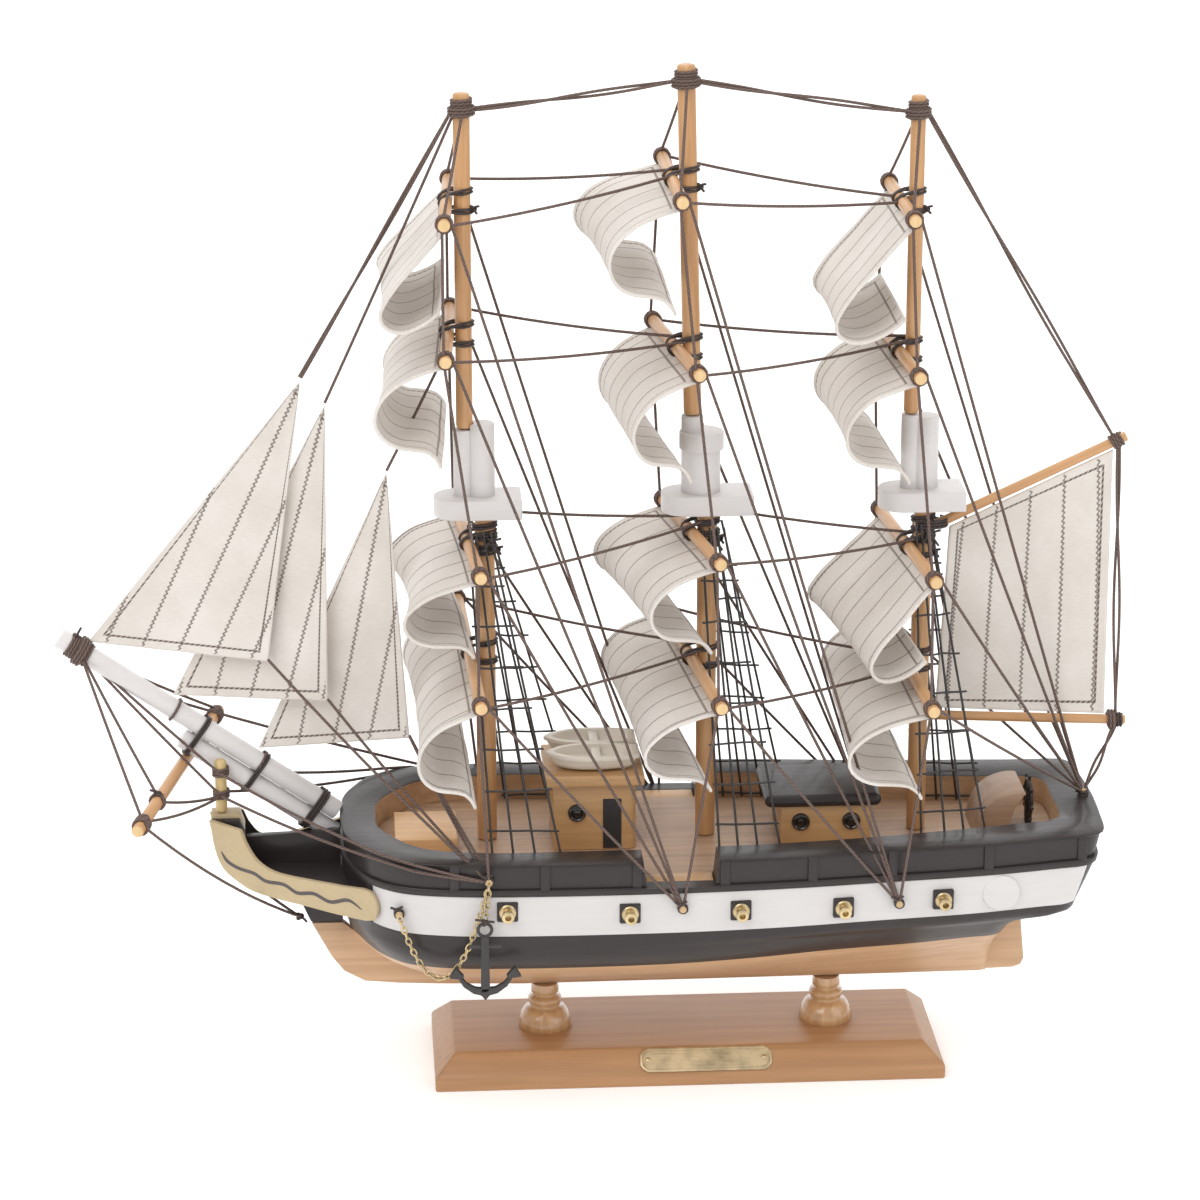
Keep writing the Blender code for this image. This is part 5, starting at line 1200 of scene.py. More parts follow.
button_black = brushed_paint("button_black", (0.008, 0.007, 0.007), 0.18, 1.0, "Y", 0.00001)
DOOR_FORE, DOOR_AFT, DOOR_TOP, TRIM = 1.7, 7.2, 88.3, 0.4
# radius, how far out of the wall
PORTHOLE_PROFILE = ((0.0, -0.5), (2.8, -0.5), (2.8, 0.35), (2.5, 0.85), (2.05, 1.0), (1.75, 0.8), (1.6, 0.5),
                    (1.3, 0.55), (1.1, 0.85), (0.6, 1.0), (0.0, 1.0))


FORE_PORTHOLE = (-6.1, 84.0)


def add_porthole(name, spot, wall, side):
    side_turned(name, PORTHOLE_PROFILE, 40, spot, side, button_black, "black_paint", wall)


for side, side_name in SIDE_NAMES.items():
    door = side_block(side, (DOOR_FORE, DOOR_AFT), (CABIN_HALF - 1, CABIN_HALF + TRIM),
                      (CABIN_FOOT + 0.4, DOOR_TOP), 0.15)
    finished(door, "cabin_door_" + side_name, matte_black, "black_paint")
    add_porthole("fore_porthole_" + side_name, FORE_PORTHOLE, CABIN_HALF, side)


# Two open rowing boats, moulded in cream plastic, lie side by side on the roof slab.

cream_plastic = brushed_paint("cream_plastic", (0.68, 0.62, 0.53), 0.4, 0.1, depth=0.00002, spread=0.04)
BOAT_FORE, BOAT_AFT, BOAT_HALF, BOAT_FOOT, BOAT_MIDDLES = -15.2, 12.6, 6.9, 96.9, (-6.8, 6.8)
SEAT_FORE, SEAT_AFT, SEAT_HALF, SEAT_LOW, SEAT_HIGH = -1.5, 1.3, 5.6, 3.6, 4.6
# share of the length, share of the breadth
BOAT_PLAN = ((0.0, 0.04), (0.06, 0.35), (0.16, 0.66), (0.30, 0.90), (0.48, 1.0), (0.68, 0.97), (0.86, 0.84),
             (1.0, 0.66))
# share of the breadth, how much shorter at each end, height over the roof
BOAT_LEVELS = ((0.40, 5.0, 0.0), (0.62, 3.4, 0.5), (0.80, 2.2, 1.6), (0.88, 1.4, 2.9), (0.92, 1.0, 3.9),
               (1.0, 0.1, 4.05), (1.0, 0.0, 4.5), (0.99, 0.1, 5.1), (0.94, 0.5, 5.2), (0.80, 2.4, 5.15),
               (0.76, 3.0, 4.6), (0.70, 4.0, 3.0), (0.60, 5.0, 2.4))


def boat_ring(middle, grow, shorten, z):
    """One level of a boat, as a ring."""
    length = BOAT_AFT - BOAT_FORE - 2 * shorten
    half = [(BOAT_FORE + shorten + share * length, -max(width * BOAT_HALF * grow, 0.2), 0)
            for share, width in BOAT_PLAN]
    near = curve_through(half, 4)
    far = [Vector((p.x, -p.y, 0)) for p in reversed(near)]
    return [p + Vector((0, middle, BOAT_FOOT + z)) for p in near + far]


for number, middle in enumerate(BOAT_MIDDLES):
    boat = loft([boat_ring(middle, *level) for level in BOAT_LEVELS], strips=True)
    nodes = ("rowboats",) if number == 0 else ()
    finished(boat, f"rowboat_{number + 1}", cream_plastic, "cream_plastic", *nodes, angle=45)
    seat = add_block((SEAT_FORE, middle - SEAT_HALF, BOAT_FOOT + SEAT_LOW),
                     (SEAT_AFT, middle + SEAT_HALF, BOAT_FOOT + SEAT_HIGH), 0.2)
    finished(seat, f"rowboat_seat_{number + 1}", cream_plastic, "cream_plastic")


# The aft cabin is a smaller block with two portholes a side, under a black roof with rounded edges.

AFT_LOW, AFT_HIGH = (55.3, -12.5, 72.3), (82.3, 12.5, 84.6)
AFT_ROOF_LOW, AFT_ROOF_HIGH = (50.2, -14.6, 84.8), (85.4, 14.6, 88.7)
finished(add_block(AFT_LOW, AFT_HIGH, 0.2), "aft_cabin_walls", cabin_wood, "honey_wood", "aft_cabin")
ROOF_ROUND = 1.9
aft_roof = add_block(AFT_ROOF_LOW, AFT_ROOF_HIGH)
select_only(aft_roof)
for edge in aft_roof.data.edges:
    edge.select = all(aft_roof.data.vertices[v].co.z > 0 for v in edge.vertices)
bpy.ops.object.mode_set(mode="EDIT")
bpy.ops.mesh.bevel(offset=ROOF_ROUND * MM, segments=6, affect="EDGES")
bpy.ops.object.mode_set(mode="OBJECT")
finished(aft_roof, "aft_roof_slab", black_gloss, "black_paint", "aft_cabin_roof", angle=50)
AFT_PORTHOLES = ((61.2, 79.8), (76.5, 79.8))
for side, side_name in SIDE_NAMES.items():
    for number, spot in enumerate(AFT_PORTHOLES):
        add_porthole(f"aft_porthole_{number + 1}_{side_name}", spot, AFT_HIGH[1], side)


# The anchor is cast, dark grey, and hangs from the end of its chain by the ring in its shank.

anchor_iron = brushed_paint("anchor_iron", (0.036, 0.032, 0.032), 0.45, 0.05, "Z", 0.00005)
ANCHOR = Vector((-35.2, -47.0, 61.6))
RING_RADIUS, RING_WIRE, CROWN_DROP = 2.0, 0.5, 22.2
ARM_LOWER = ((1.2, 1.6), (3.5, 2.2), (6.4, 4.4), (8.2, 7.4))
ARM_UPPER = ((7.2, 7.8), (5.4, 5.6), (2.9, 4.2), (1.2, 4.0))
FLUKE = ((7.2, 7.0), (10.6, 7.4), (8.7, 10.6), (6.2, 7.8))
arm = ARM_LOWER + ARM_UPPER
crescent = ((0, 0),) + arm + tuple((-x, z) for x, z in reversed(arm))


def anchor_plate(name, outline, half, ease, *nodes):
    plate = add_plate([(ANCHOR.x + x, ANCHOR.z - CROWN_DROP + z) for x, z in outline], -half, half, ease)
    plate.matrix_world = Matrix.Translation((0, ANCHOR.y * MM, 0)) @ upright
    return finished(plate, name, anchor_iron, "gun_metal", *nodes, body="anchor")


anchor_plate("anchor_arms", crescent, 0.8, 0.3, "anchor")
for end, sign in (("fore", -1), ("aft", 1)):
    anchor_plate("anchor_fluke_" + end, [(sign * x, z) for x, z in FLUKE][::sign], 1.0, 0.2)
shank_top = CROWN_DROP - RING_RADIUS
anchor_plate("anchor_shank", ((-1.35, 2.0), (1.35, 2.0), (1.15, shank_top - 0.8), (0.7, shank_top + 0.2),
                              (-0.7, shank_top + 0.2), (-1.15, shank_top - 0.8)), 0.8, 0.25)
STOCK_DROP, STOCK_HALF, STOCK_RADIUS = 5.2, 4.8, 0.6
stock_ends = [ANCHOR + Vector((sign * STOCK_HALF, 0, -STOCK_DROP)) for sign in (-1, 1)]
stock = add_dowel(*stock_ends, STOCK_RADIUS, 0.2, 20)
finished(stock, "anchor_stock", anchor_iron, "gun_metal", body="anchor")
ring = add_hoop(ANCHOR, RING_RADIUS, RING_WIRE, 40, 12, (math.radians(90), 0, 0))
finished(ring, "anchor_ring", anchor_iron, "gun_metal", body="anchor")


# The chain is of oval brass links. It hangs in a bight from a peg on the band to the side peg, and drops
# from there to the anchor's ring.

LINK_WIRE, LINK_HALF, LINK_WIDE, CHAIN_SAG, CHAIN_OUT = 0.28, 1.2, 0.74, 24.4, 3.0
LINK_POINTS, WIRE_SIDES = 16, 7


def beside(spot, side, out):
    """A point beside a spot of the hull's side, a distance out from it."""
    x, z = spot
    return Vector((x, side * (half_breadth(x, z) + out), z))


def taut(start, end, sag=0.4, steps=10):
    """A line pulled tight between two places, with a trace of sag."""
    start, end = Vector(start), Vector(end)
    return [start.lerp(end, k / steps) - Vector((0, 0, 4 * sag * k / steps * (1 - k / steps)))
            for k in range(steps + 1)]


chain_peg, side_peg = beside(BAND_PEGS[0], PORT, CHAIN_OUT), beside(SIDE_PEG, PORT, CHAIN_OUT)
bight = taut(chain_peg, side_peg, CHAIN_SAG, 40)
drop = [side_peg, side_peg.lerp(ANCHOR, 0.5), ANCHOR + Vector((0, 0, RING_RADIUS + RING_WIRE + 0.6))]


def turns_of(count):
    """The angles of so many even steps round a circle."""
    return [2 * math.pi * k / count for k in range(count)]


def chain_links(line, first):
    """Rings of points for each link of a chain along a line, every second one turned."""
    length = sum((b - a).length for a, b in zip(line, line[1:]))
    count = round(length / (2 * (LINK_HALF - LINK_WIRE)))
    spots = placed(line, [length * k / count for k in range(count + 1)])
    rings = []
    for number, (a, b) in enumerate(zip(spots, spots[1:])):
        run = (b - a).normalized()
        side = run.cross(Vector((0, 1, 0.2))).normalized()
        if (number + first) % 2:
            side = run.cross(side).normalized()
        through = run.cross(side)
        link = []
        for turn in turns_of(LINK_POINTS):
            spine = (a + b) / 2 + run * LINK_HALF * math.cos(turn) + side * LINK_WIDE * math.sin(turn)
            out = (run * math.cos(turn) / LINK_HALF + side * math.sin(turn) / LINK_WIDE).normalized()
            link.append([spine + (out * math.cos(m) + through * math.sin(m)) * LINK_WIRE
                         for m in turns_of(WIRE_SIDES)])
        rings.append(link)
    return rings


points, faces = [], []
for link in chain_links(bight, 0) + chain_links(drop, 1):
    base_at = len(points)
    points += [p for ring in link for p in ring]
    for k in range(LINK_POINTS):
        here, there = base_at + k * WIRE_SIDES, base_at + (k + 1) % LINK_POINTS * WIRE_SIDES
        for m in range(WIRE_SIDES):
            after = (m + 1) % WIRE_SIDES
            faces.append((here + m, here + after, there + after, there + m))
chain = faces_outward(poured("chain", points, faces))
finished(chain, "anchor_chain_links", gun_brass, "brass", "anchor_chain", angle=60)


# The rigging is waxed brown thread, pulled taut and tied off round the spars and the pegs.

def waxed_thread(name, colour, roughness, coat):
    """Twisted thread, whose strands follow its own UV map."""
    finish = Finish(name, Coat_Roughness=0.3)
    turn, along = finish.uv("wrap")
    strands = (turn * 3.0 + along / 0.0016).reckon("PINGPONG", 0.5)
    fuzz = finish.noise(finish.place(), 1500.0, 2.0)
    low, high = [c * 0.55 for c in colour], [c * 1.35 for c in colour]
    finish.feed(Base_Color=finish.ramp(strands * 0.9 + fuzz * 0.35, (0.2, low), (0.6, high)),
                Roughness=fuzz * 0.2 + (roughness - 0.1))
    finish.shader.inputs["Coat Weight"].default_value = coat
    finish.relief(strands + fuzz * 0.4, 0.00015)
    return finish.material


CORD_SIDES = 7


def corded(name, runs, material, *nodes, body="ship", angle=70):
    """Cords as one piece. Each run is its points and its radius."""
    points, faces, marks = [], [], []
    for line, radius in runs:
        line = [Vector(p) for p in line]
        base_at, gone = len(points), 0.0
        side = (line[1] - line[0]).normalized().orthogonal().normalized()
        for i, spot in enumerate(line):
            ahead = (line[min(i + 1, len(line) - 1)] - line[max(i - 1, 0)]).normalized()
            side = (side - ahead * side.dot(ahead)).normalized()
            up = ahead.cross(side)
            gone += (spot - line[i - 1]).length if i else 0.0
            for k, turn in enumerate(turns_of(CORD_SIDES)):
                points.append(spot + (side * math.cos(turn) + up * math.sin(turn)) * radius)
                marks.append((k / CORD_SIDES, gone * MM))
        for i in range(len(line) - 1):
            here, there = base_at + i * CORD_SIDES, base_at + (i + 1) * CORD_SIDES
            for k in range(CORD_SIDES):
                after = (k + 1) % CORD_SIDES
                faces.append((here + k, here + after, there + after, there + k))
        faces.append(tuple(base_at + k for k in reversed(range(CORD_SIDES))))
        faces.append(tuple(len(points) - CORD_SIDES + k for k in range(CORD_SIDES)))
    piece = poured(name, points, faces)
    layer = piece.data.uv_layers.new(name="wrap")
    for face in piece.data.polygons:
        wraps = len(face.vertices) == 4 and max(marks[v][0] for v in face.vertices) > 1 - 1.5 / CORD_SIDES
        for loop in face.loop_indices:
            turn, along = marks[piece.data.loops[loop].vertex_index]
            layer.data[loop].uv = (turn + (1 if wraps and turn < 0.5 else 0), along)
    finished(piece, name, material, "thread", *nodes, body=body, angle=angle)


def threads(*lines):
    return [(line, THREAD) for line in lines]


brown_thread = waxed_thread("brown_thread", (0.13, 0.085, 0.07), 0.75, 0.05)
dark_thread = waxed_thread("dark_thread", (0.045, 0.03, 0.026), 0.6, 0.1)
tarred_thread = waxed_thread("tarred_thread", (0.022, 0.020, 0.020), 0.45, 0.5)
THREAD = 0.45


COIL_STEPS = 14


def coil(middle, axis, radius, width):
    """A thread wound round a spar, side by side over a width."""
    axis = Vector(axis).normalized()
    side = axis.orthogonal().normalized()
    up = axis.cross(side)
    turns = max(1, round(width / (2 * THREAD)))
    line = []
    for k in range(turns * COIL_STEPS + 1):
        turn = 2 * math.pi * k / COIL_STEPS
        line.append(Vector(middle) + axis * (k / COIL_STEPS - turns / 2) * 2 * THREAD
                    + (side * math.cos(turn) + up * math.sin(turn)) * (radius + THREAD))
    return line, THREAD


KNOT_STEPS, CUT_END = 24, 0.38


def knotted(spot, size, *ends):
    """A knot, and a cut end of thread for each direction given."""
    spot = Vector(spot)
    line = []
    for k in range(KNOT_STEPS + 1):
        t = 2 * math.pi * k / KNOT_STEPS
        line.append(spot + Vector((math.cos(t) + 2 * math.cos(2 * t), -math.sin(3 * t),
                                   math.sin(t) - 2 * math.sin(2 * t))) * size / 3)
    tails = []
    for end in ends:
        bow = Vector(end) * 0.5 + Vector((0, 0, 0.3))
        tails.append(([spot, spot + bow, spot + Vector(end)], CUT_END))
    return threads(line) + tails


TWIN_STEPS, TWIN_APART, TWIN_SAG = 24, 0.32, 0.4
ACROSS = Vector((0, 1, 0))


def twin(start, end, swell=0.7):
    """Two strands that run together, twisted and a little apart in the middle."""
    side = (end - start).normalized().cross(ACROSS).normalized()
    middle = taut(start, end, TWIN_SAG, TWIN_STEPS)
    strands = []
    for sign in (-1, 1):
        line = []
        for k, spot in enumerate(middle):
            share, turn = k / TWIN_STEPS, 1.5 * math.pi * k / TWIN_STEPS
            apart = TWIN_APART + (swell - TWIN_APART) * math.sin(math.pi * share)
            line.append(spot + (side * math.cos(turn) + ACROSS * math.sin(turn)) * sign * apart)
        strands.append(line)
    return threads(*strands)


# The stays run from the tip of the jib boom over the three mast heads to the gaff, the boom and the stern

# the middle of the wound part of each mast's head, and the mast's radius there
HEAD_BAND = 4.8
heads = {name: (Vector((row[3], 0, row[5] - HEAD_BAND)), row[6]) for name, row in MASTS.items()}
boom_tip = Vector((-153.4, SPAR_SIDE, 133.1))
gaff_tip, boom_end = Vector((155.0, 0, 193.6)), Vector((158.0, 0, 105.8))
stern_foot = Vector((STERN_PEG[0], 0, STERN_PEG[1] + 0.9))
fore_head, main_head, mizzen_head = [head for head, radius in heads.values()]
UP, HEAD_OUT = Vector((0, 0, 1)), Vector((2.6, 0, 0))
stay_runs = twin(jib_corners["outer"][0] + UP * 1.2, fore_head - HEAD_OUT, 0.4)
stay_runs += twin(fore_head + HEAD_OUT, main_head - HEAD_OUT)
stay_runs += twin(main_head + HEAD_OUT, mizzen_head - HEAD_OUT)
stay_runs += twin(mizzen_head + HEAD_OUT, gaff_tip + Vector((-1, 0, 1)))
stay_runs += twin(gaff_tip + Vector((0.6, 0, -1.4)), boom_end + UP * 1.6, 0.9)
stay_runs += twin(boom_end - UP * 1.6, stern_foot, 0.8)
for name, height in (("middle", 293.0), ("inner", 229.5)):
    target = Vector((fore_head.x - HEAD_OUT.x, 0, height))
    stay_runs += threads(taut(jib_corners[name][0] + UP * 0.8, target))
corded("main_stays", stay_runs, brown_thread, "stays")


# On each side one thread drops from the head of a mast through its yards' ends to a peg. From the same ends
# a backstay runs aft to the next peg, and a brace to the lashing on the next mast.

def yard_end(mast, yard, side, inset=2.6):
    """A place on a yard's middle line, a little in from its end."""
    centre, reach = yard_places[mast, yard]
    return centre + reach * (side * (1 - inset / reach.length))


def peg_at(spot, side):
    return beside(spot, side, 1.3)


YARD_NAMES = ("royal", "topgallant", "topsail", "course")
FORWARD_PEG = {"fore": SIDE_PEG, "main": BAND_PEGS[1], "mizzen": BAND_PEGS[2]}
AFT_PEG = {"fore": BAND_PEGS[1], "main": BAND_PEGS[2]}
# height on the next mast that each yard is braced to
BRACE_TO = {"fore": ("main", (276.6, 226.5, 171.9, 131.7)), "main": ("mizzen", (267.1, 225.9, 165.3, 126.0))}
down_runs, aft_runs = [], []
for mast, (head, head_radius) in heads.items():
    for side in (PORT, STARBOARD):
        ends = [yard_end(mast, yard, side) + Vector((-0.6, side * 1.2, 0)) for yard in YARD_NAMES]
        line = [head + Vector((0, side * (head_radius + 1), -1.5))] + ends + [peg_at(FORWARD_PEG[mast], side)]
        down_runs += threads(*[taut(a, b, 0.5) for a, b in zip(line, line[1:])])
        foot = peg_at(AFT_PEG[mast], side) if mast in AFT_PEG else stern_foot
        for number, yard in enumerate(YARD_NAMES):
            start = yard_end(mast, yard, side, 2.0) + Vector((YARD_RADIUS + 0.3, 0, -0.3))
            aft_runs += threads(taut(start, foot, 0.8))
            if mast in BRACE_TO:
                next_mast, levels = BRACE_TO[mast]
                x, radius = mast_at(next_mast, levels[number])
                aft_runs += threads(taut(start, (x - 1.5, side * (radius + 0.2), levels[number]), 1.2))
corded("yard_end_lines", down_runs, brown_thread)
corded("backstays_and_braces", aft_runs, brown_thread)


# Round each yard's end goes a wound band, and a square lashing holds each yard to its mast

LASHING_SIDE, LASHING_RISE = 2.7, 2.3
# under each top: where the mast is measured, the three bands' first height and pitch, the knot
MEASURED_AT, UNDER_TOP, UNDER_TOP_PITCH, UNDER_TOP_KNOT = 170, 171.0, 3.4, 166.5
wraps, lashings = [], []
for (mast, yard), (centre, reach) in yard_places.items():
    for side in (PORT, STARBOARD):
        wraps.append(coil(yard_end(mast, yard, side, 2.9), reach, YARD_RADIUS, 2.6))
    x, radius = mast_at(mast, centre.z)
    spar, out = YARD_RADIUS + THREAD, radius + THREAD
    for lap in (0, 1):
        gap = LASHING_SIDE + lap * 2 * THREAD
        # the port half from the top down, then the starboard half from the bottom up
        half = [(x, out, LASHING_RISE + lap), (centre.x, gap, spar), (centre.x - spar, gap, 0),
                (centre.x, gap, -spar), (x, out, -LASHING_RISE - lap)]
        back = LASHING_RISE + 0.2 + lap
        ring = [(a, -b, c) for a, b, c in half] + [(x + out, 0, -back)] + half[::-1] + [(x + out, 0, back)]
        ring = curve_through([Vector(p) + UP * centre.z for p in ring], 3, closed=True)
        lashings += threads(ring + ring[:1])
    if yard in ("topsail", "royal"):
        lashings += knotted((x + out, -0.8, centre.z - 2.5), 1.0, (1.2, -2.4, -0.8), (2.0, -0.6, 1.0))
for name, (head, radius) in heads.items():
    for layer in (0, 1):
        wraps.append(coil(head + UP * (0.5 - layer), UP, radius + layer * 0.8, 5.0 - layer * 2.2))
    x, radius = mast_at(name, MEASURED_AT)
    for layer in (0, 1, 2):
        middle, tilt = (x, 0, UNDER_TOP - layer * UNDER_TOP_PITCH), (0.08 * (layer - 1), 0.1, 1)
        lashings.append(coil(middle, tilt, radius + 0.15, 1.9))
    lashings += knotted((x + 1.5, -radius - 0.9, UNDER_TOP_KNOT), 1.5,
                        (2.6, -1.6, -3.0), (-2.2, -1.5, -2.2), (3.2, -0.6, 1.6))
gaff_run, boom_run = [(Vector(aft) - Vector(fore)).normalized() for fore, aft in (GAFF, BOOM)]
END_SHIFT = 1.2
wraps += [coil(gaff_tip, gaff_run, GAFF_RADIUS, 3.6),
          coil(boom_end - boom_run * END_SHIFT, boom_run, GAFF_RADIUS, 2.4),
          coil(boom_end - boom_run * END_SHIFT, boom_run, GAFF_RADIUS + 0.8, 1.5)]
lashings.append(coil(boom_end + boom_run * END_SHIFT, boom_run, GAFF_RADIUS, 1.6))
for fore_end in (GAFF[0], BOOM[0]):
    x, z = fore_end[0] + 1, fore_end[2]
    mast_x = mast_at("mizzen", z)[0]
    lashings.append(coil(((mast_x + x) / 2, 0, z + 0.6), (0, 0.1, 1), (x - mast_x) / 2 + 1.9, 2.4))
corded("wound_bands", wraps, brown_thread)
corded("mast_lashings", lashings, dark_thread)


# The shrouds are black threads that spread from each lower mast to the foot of the bulwark, crossed by stiff
# ratlines whose ends stick out.

# foot of each port shroud, its head, distances aft, then how much further aft the starboard feet are
SHROUDS = {"fore": ((-31.9, -25.4, -18.7, -10.8), (-37.4, -35.3, -33.2, -31.1), 6.0),
           "main": ((35.4, 41.2, 47.3, 54.3), (31.5, 33.8, 36.0, 38.0), 6.5),
           "mizzen": ((96.3, 103.9, 110.1, 117.0), (95.4, 96.8, 98.2, 99.6), 3.7)}
SHROUD_HEAD, SHROUD_FOOT, SHROUD_RADIUS = 170.0, 72.5, 0.38
RATLINE_FIRST, RATLINE_PITCH, RATLINES, RATLINE_RADIUS, OVERHANG = 73.6, 11.6, 8, 0.34, 1.3

random.seed(4)
for mast, (feet, tops, starboard_shift) in SHROUDS.items():
    radius = mast_at(mast, SHROUD_HEAD - 1)[1]
    for side, side_name in SIDE_NAMES.items():
        shift = starboard_shift if side == STARBOARD else 0.0
        legs = []
        for foot, top in zip(feet, tops):
            out = read_off(WELL_PLAN, foot + shift, 1.0) - 0.6
            low = Vector((foot + shift, side * out, SHROUD_FOOT + RIM_SHEER * sheer(foot)))
            legs.append((Vector((top, side * (radius + 0.6), SHROUD_HEAD)), low))
        runs = [(taut(high, low, 0.3, 12), SHROUD_RADIUS) for high, low in legs]
        for number in range(RATLINES):
            share = 1 - (RATLINE_FIRST + RATLINE_PITCH * number - SHROUD_FOOT) / (SHROUD_HEAD - SHROUD_FOOT)
            spots = [high.lerp(low, share) + Vector((0, side * 0.35, random.uniform(-0.3, 0.3)))
                     for high, low in legs]
            reach = (spots[-1] - spots[0]).normalized() * OVERHANG
            fore_end = spots[0] - reach * random.uniform(0.6, 1.2)
            aft_end = spots[-1] + reach * random.uniform(0.6, 1.5)
            runs.append(([fore_end] + spots + [aft_end], RATLINE_RADIUS))
        corded(f"{mast}_shrouds_{side_name}", runs, tarred_thread)


# Forward, threads spread from the tip of the jib boom to the spritsail yard, the bow post and the stem, and
# dark bands bind the two spars together. The jibs' sheets lead aft to the side peg.

yard_fore, yard_aft = [Vector(end) for end in SPRITSAIL_YARD]


def on_spritsail(y, lift=0.0):
    """The spritsail yard's middle line at a distance to starboard, and a lift over it."""
    return yard_fore.lerp(yard_aft, (y - yard_fore.y) / (yard_aft.y - yard_fore.y)) + UP * lift


POST_X, POST_LOW_AT, POST_HIGH_AT = BOW_POST[0][0], 88.3, 95.4
post_low, post_high = Vector((POST_X, 0, POST_LOW_AT)), Vector((POST_X, 0, POST_HIGH_AT))
nail = Vector((-89.8, -2.4, 49.0))
# where the two bow threads bend round the bulwark's shoulder: distance aft, how much lower
SHOULDER_BENDS, LOW_SHOULDER, HIGH_SHOULDER = ((-64.0, 0), (-55.0, 1.4)), 79.6, 81.6
STEM_KNOT, FAR_LINE_START = (-105.0, -3.0, 62.0), (-126.0, SPAR_SIDE + 2.6, 115.6)
# places along the spritsail yard, distances to starboard
YARD_LINE_PORT, YARD_LINE_STARBOARD, YARD_BAND_STARBOARD, YARD_KNOT = -47, 43, 42, 29
bow_runs = []
for side in (PORT, STARBOARD):
    outer = on_spritsail(YARD_LINE_PORT if side == PORT else YARD_LINE_STARBOARD)
    inner, beside_post = on_spritsail(side * YARD_KNOT), ACROSS * side * 2
    bow_runs += threads(taut(boom_tip, outer + UP * 2, 0.6), taut(boom_tip, inner + UP * 2, 0.6),
                        taut(inner, post_low + beside_post, 1.0),
                        taut(outer + UP, post_low + beside_post, 1.6))
    for start, shoulder in ((post_low, LOW_SHOULDER), (post_high, HIGH_SHOULDER)):
        fore_bend, aft_bend = [Vector((x, side * (half_breadth(x, 80) + 1.1), shoulder - lower))
                               for x, lower in SHOULDER_BENDS]
        bow_runs += threads(taut(start + beside_post, fore_bend, 1.2), taut(fore_bend, aft_bend, 0, 3),
                            taut(aft_bend, peg_at(SIDE_PEG, side), 0.2, 6))
bow_runs += threads(taut(on_spritsail(YARD_LINE_PORT), nail, 3.0), taut(STEM_KNOT, nail, 0.5),
                    taut(boom_tip, post_low - ACROSS * 2, 0.5), taut(boom_tip, post_high - ACROSS * 2, 0.5))
port_peg, far_peg = peg_at(SIDE_PEG, PORT), peg_at(SIDE_PEG, STARBOARD)
clews = {name: corners[2] + UP * 0.5 for name, corners in jib_corners.items()}
bow_runs += threads(*[taut(clew, port_peg, 1.5, 14) for clew in clews.values()])
bow_runs += threads(taut(clews["inner"] + ACROSS * 0.6, port_peg + Vector((1, 0, 0.5)), 1.0, 14),
                    taut(FAR_LINE_START, far_peg, 1.0))
corded("bow_lines", bow_runs, brown_thread)

boom_run = (Vector(JIB_BOOM[1]) - Vector(JIB_BOOM[0])).normalized()
bow_wraps = [coil(boom_tip, boom_run, SPAR_RADIUS, 7.2),
             coil(boom_tip + boom_run * 0.8, boom_run, SPAR_RADIUS + 0.8, 3.0),
             coil(post_low, UP, POST_RADIUS, 2.6), coil(post_high, UP, POST_RADIUS, 2.4)]
# distance to starboard and width of each band on the spritsail yard
for y, width in ((YARD_LINE_PORT, 4.2), (YARD_BAND_STARBOARD, 4.2), (-YARD_KNOT, 1.8), (YARD_KNOT, 1.8)):
    bow_wraps.append(coil(on_spritsail(y), yard_aft - yard_fore, YARD_RADIUS, width))
for name in ("middle", "inner"):
    x = jib_corners[name][1].x + 0.6
    bow_wraps.append(coil((x, SPAR_SIDE, boom_top(x) - SPAR_RADIUS * 1.22), boom_run, SPAR_RADIUS, 0.9))

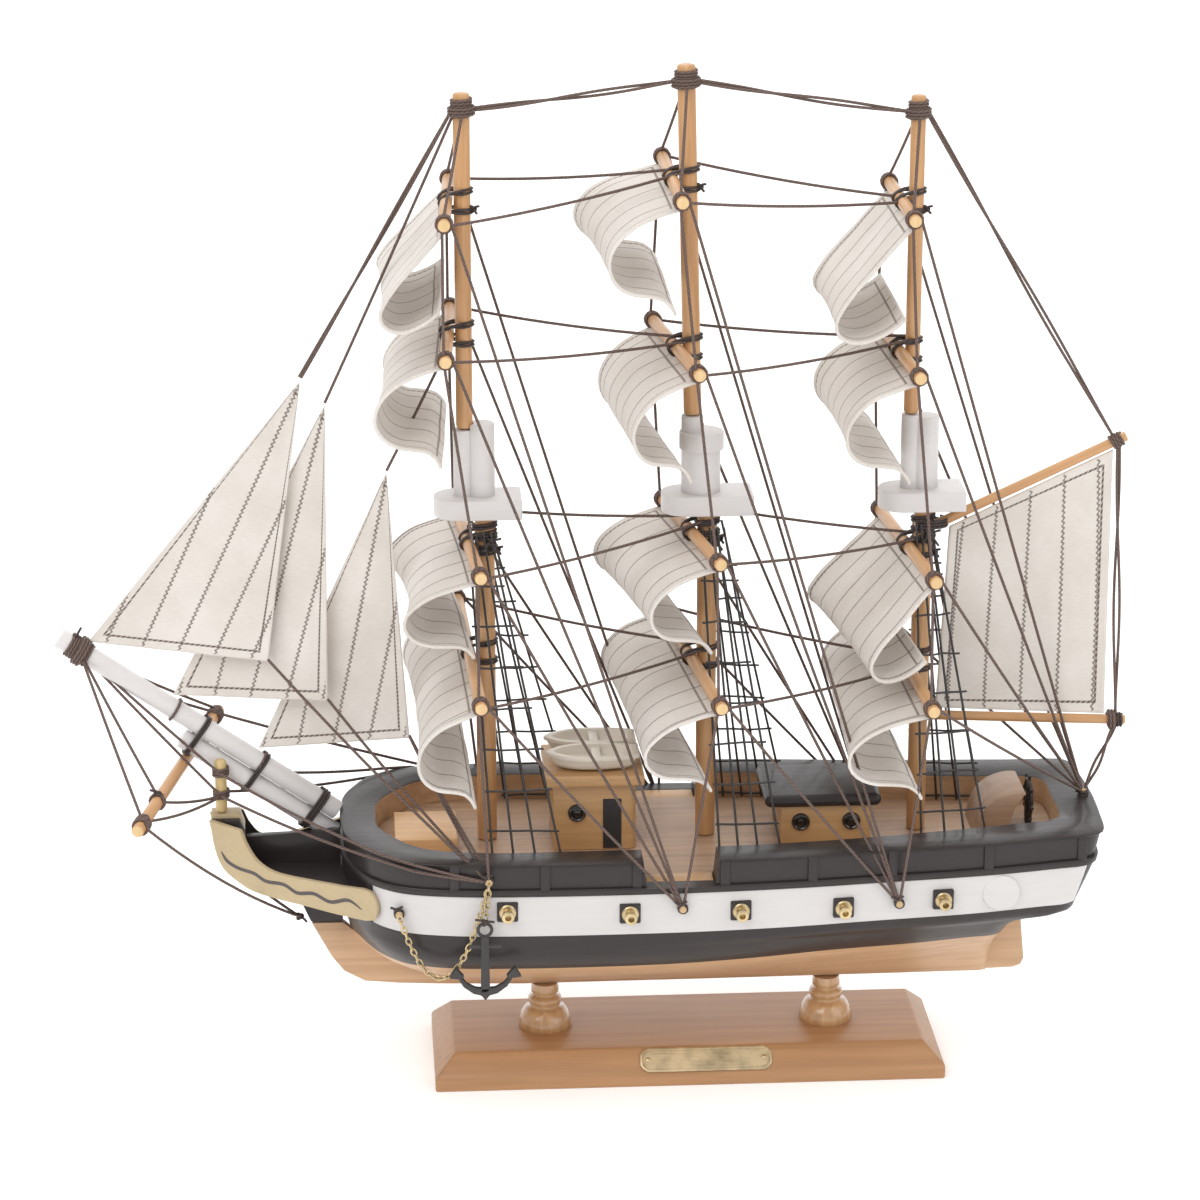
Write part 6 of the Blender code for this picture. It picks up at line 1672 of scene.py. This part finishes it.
# The bands go round both spars together: a half circle over the jib boom and one under the bowsprit
SPARS_APART, BAND_STEPS, BAND_PITCH = 6.4, 20, 0.85
square = boom_run.cross(ACROSS).normalized()
square = square if square.z > 0 else -square
dark_wraps = []
# distance aft of each band, turns
for x, turns in ((-117.6, 2), (-100.4, 2), (-83.0, 3)):
    fore = Vector(JIB_BOOM[0])
    high = fore + boom_run * ((x - fore.x) / boom_run.x)
    low = high - square * SPARS_APART
    ring = []
    for k in range(turns * BAND_STEPS + 1):
        turn = 2 * math.pi * k / BAND_STEPS
        hub = high if math.cos(turn) >= 0 else low
        ring.append(hub + (square * math.cos(turn) + ACROSS * math.sin(turn)) * (SPAR_RADIUS + THREAD)
                    + boom_run * (k / BAND_STEPS - turns / 2) * BAND_PITCH)
    dark_wraps += threads(ring)
dark_wraps += knotted(boom_tip + Vector((-0.6, -1.0, 4.0)), 1.0, (1.6, -0.6, 3.4))
dark_wraps += knotted(nail, 1.0, (-2.4, -0.8, 1.0), (2.2, -0.8, -1.6))
dark_wraps += knotted(on_spritsail(-YARD_KNOT, 2.4), 1.0, (-2.0, -1.0, 1.6))
for side in (PORT, STARBOARD):
    for spot in BAND_PEGS + (SIDE_PEG,):
        peg = peg_at(spot, side)
        dark_wraps.append(coil(peg - ACROSS * side * 0.6, ACROSS, 0.75, 1.4))
        dark_wraps += knotted(peg + Vector((-0.6, 0, 0.9)), 0.9,
                              (-1.8, side * 0.8, 1.6), (1.6, side * 0.8, 1.8))
dark_wraps += knotted(stern_foot, 1.4, (-2.4, -0.6, 0.4), (1.6, 1.2, 1.0))
dark_wraps.append(coil(stern_foot - UP * 0.4, UP, 0.9, 1.8))
corded("bow_bands", bow_wraps, brown_thread)
corded("dark_knots", dark_wraps, dark_thread)
anchor_knot = knotted(ANCHOR + Vector((0, -0.6, RING_RADIUS + 0.5)), 0.9, (-2.8, -0.4, 1.2), (2.8, -0.4, 0.3))
corded("anchor_knot", anchor_knot, dark_thread, body="anchor", angle=35)
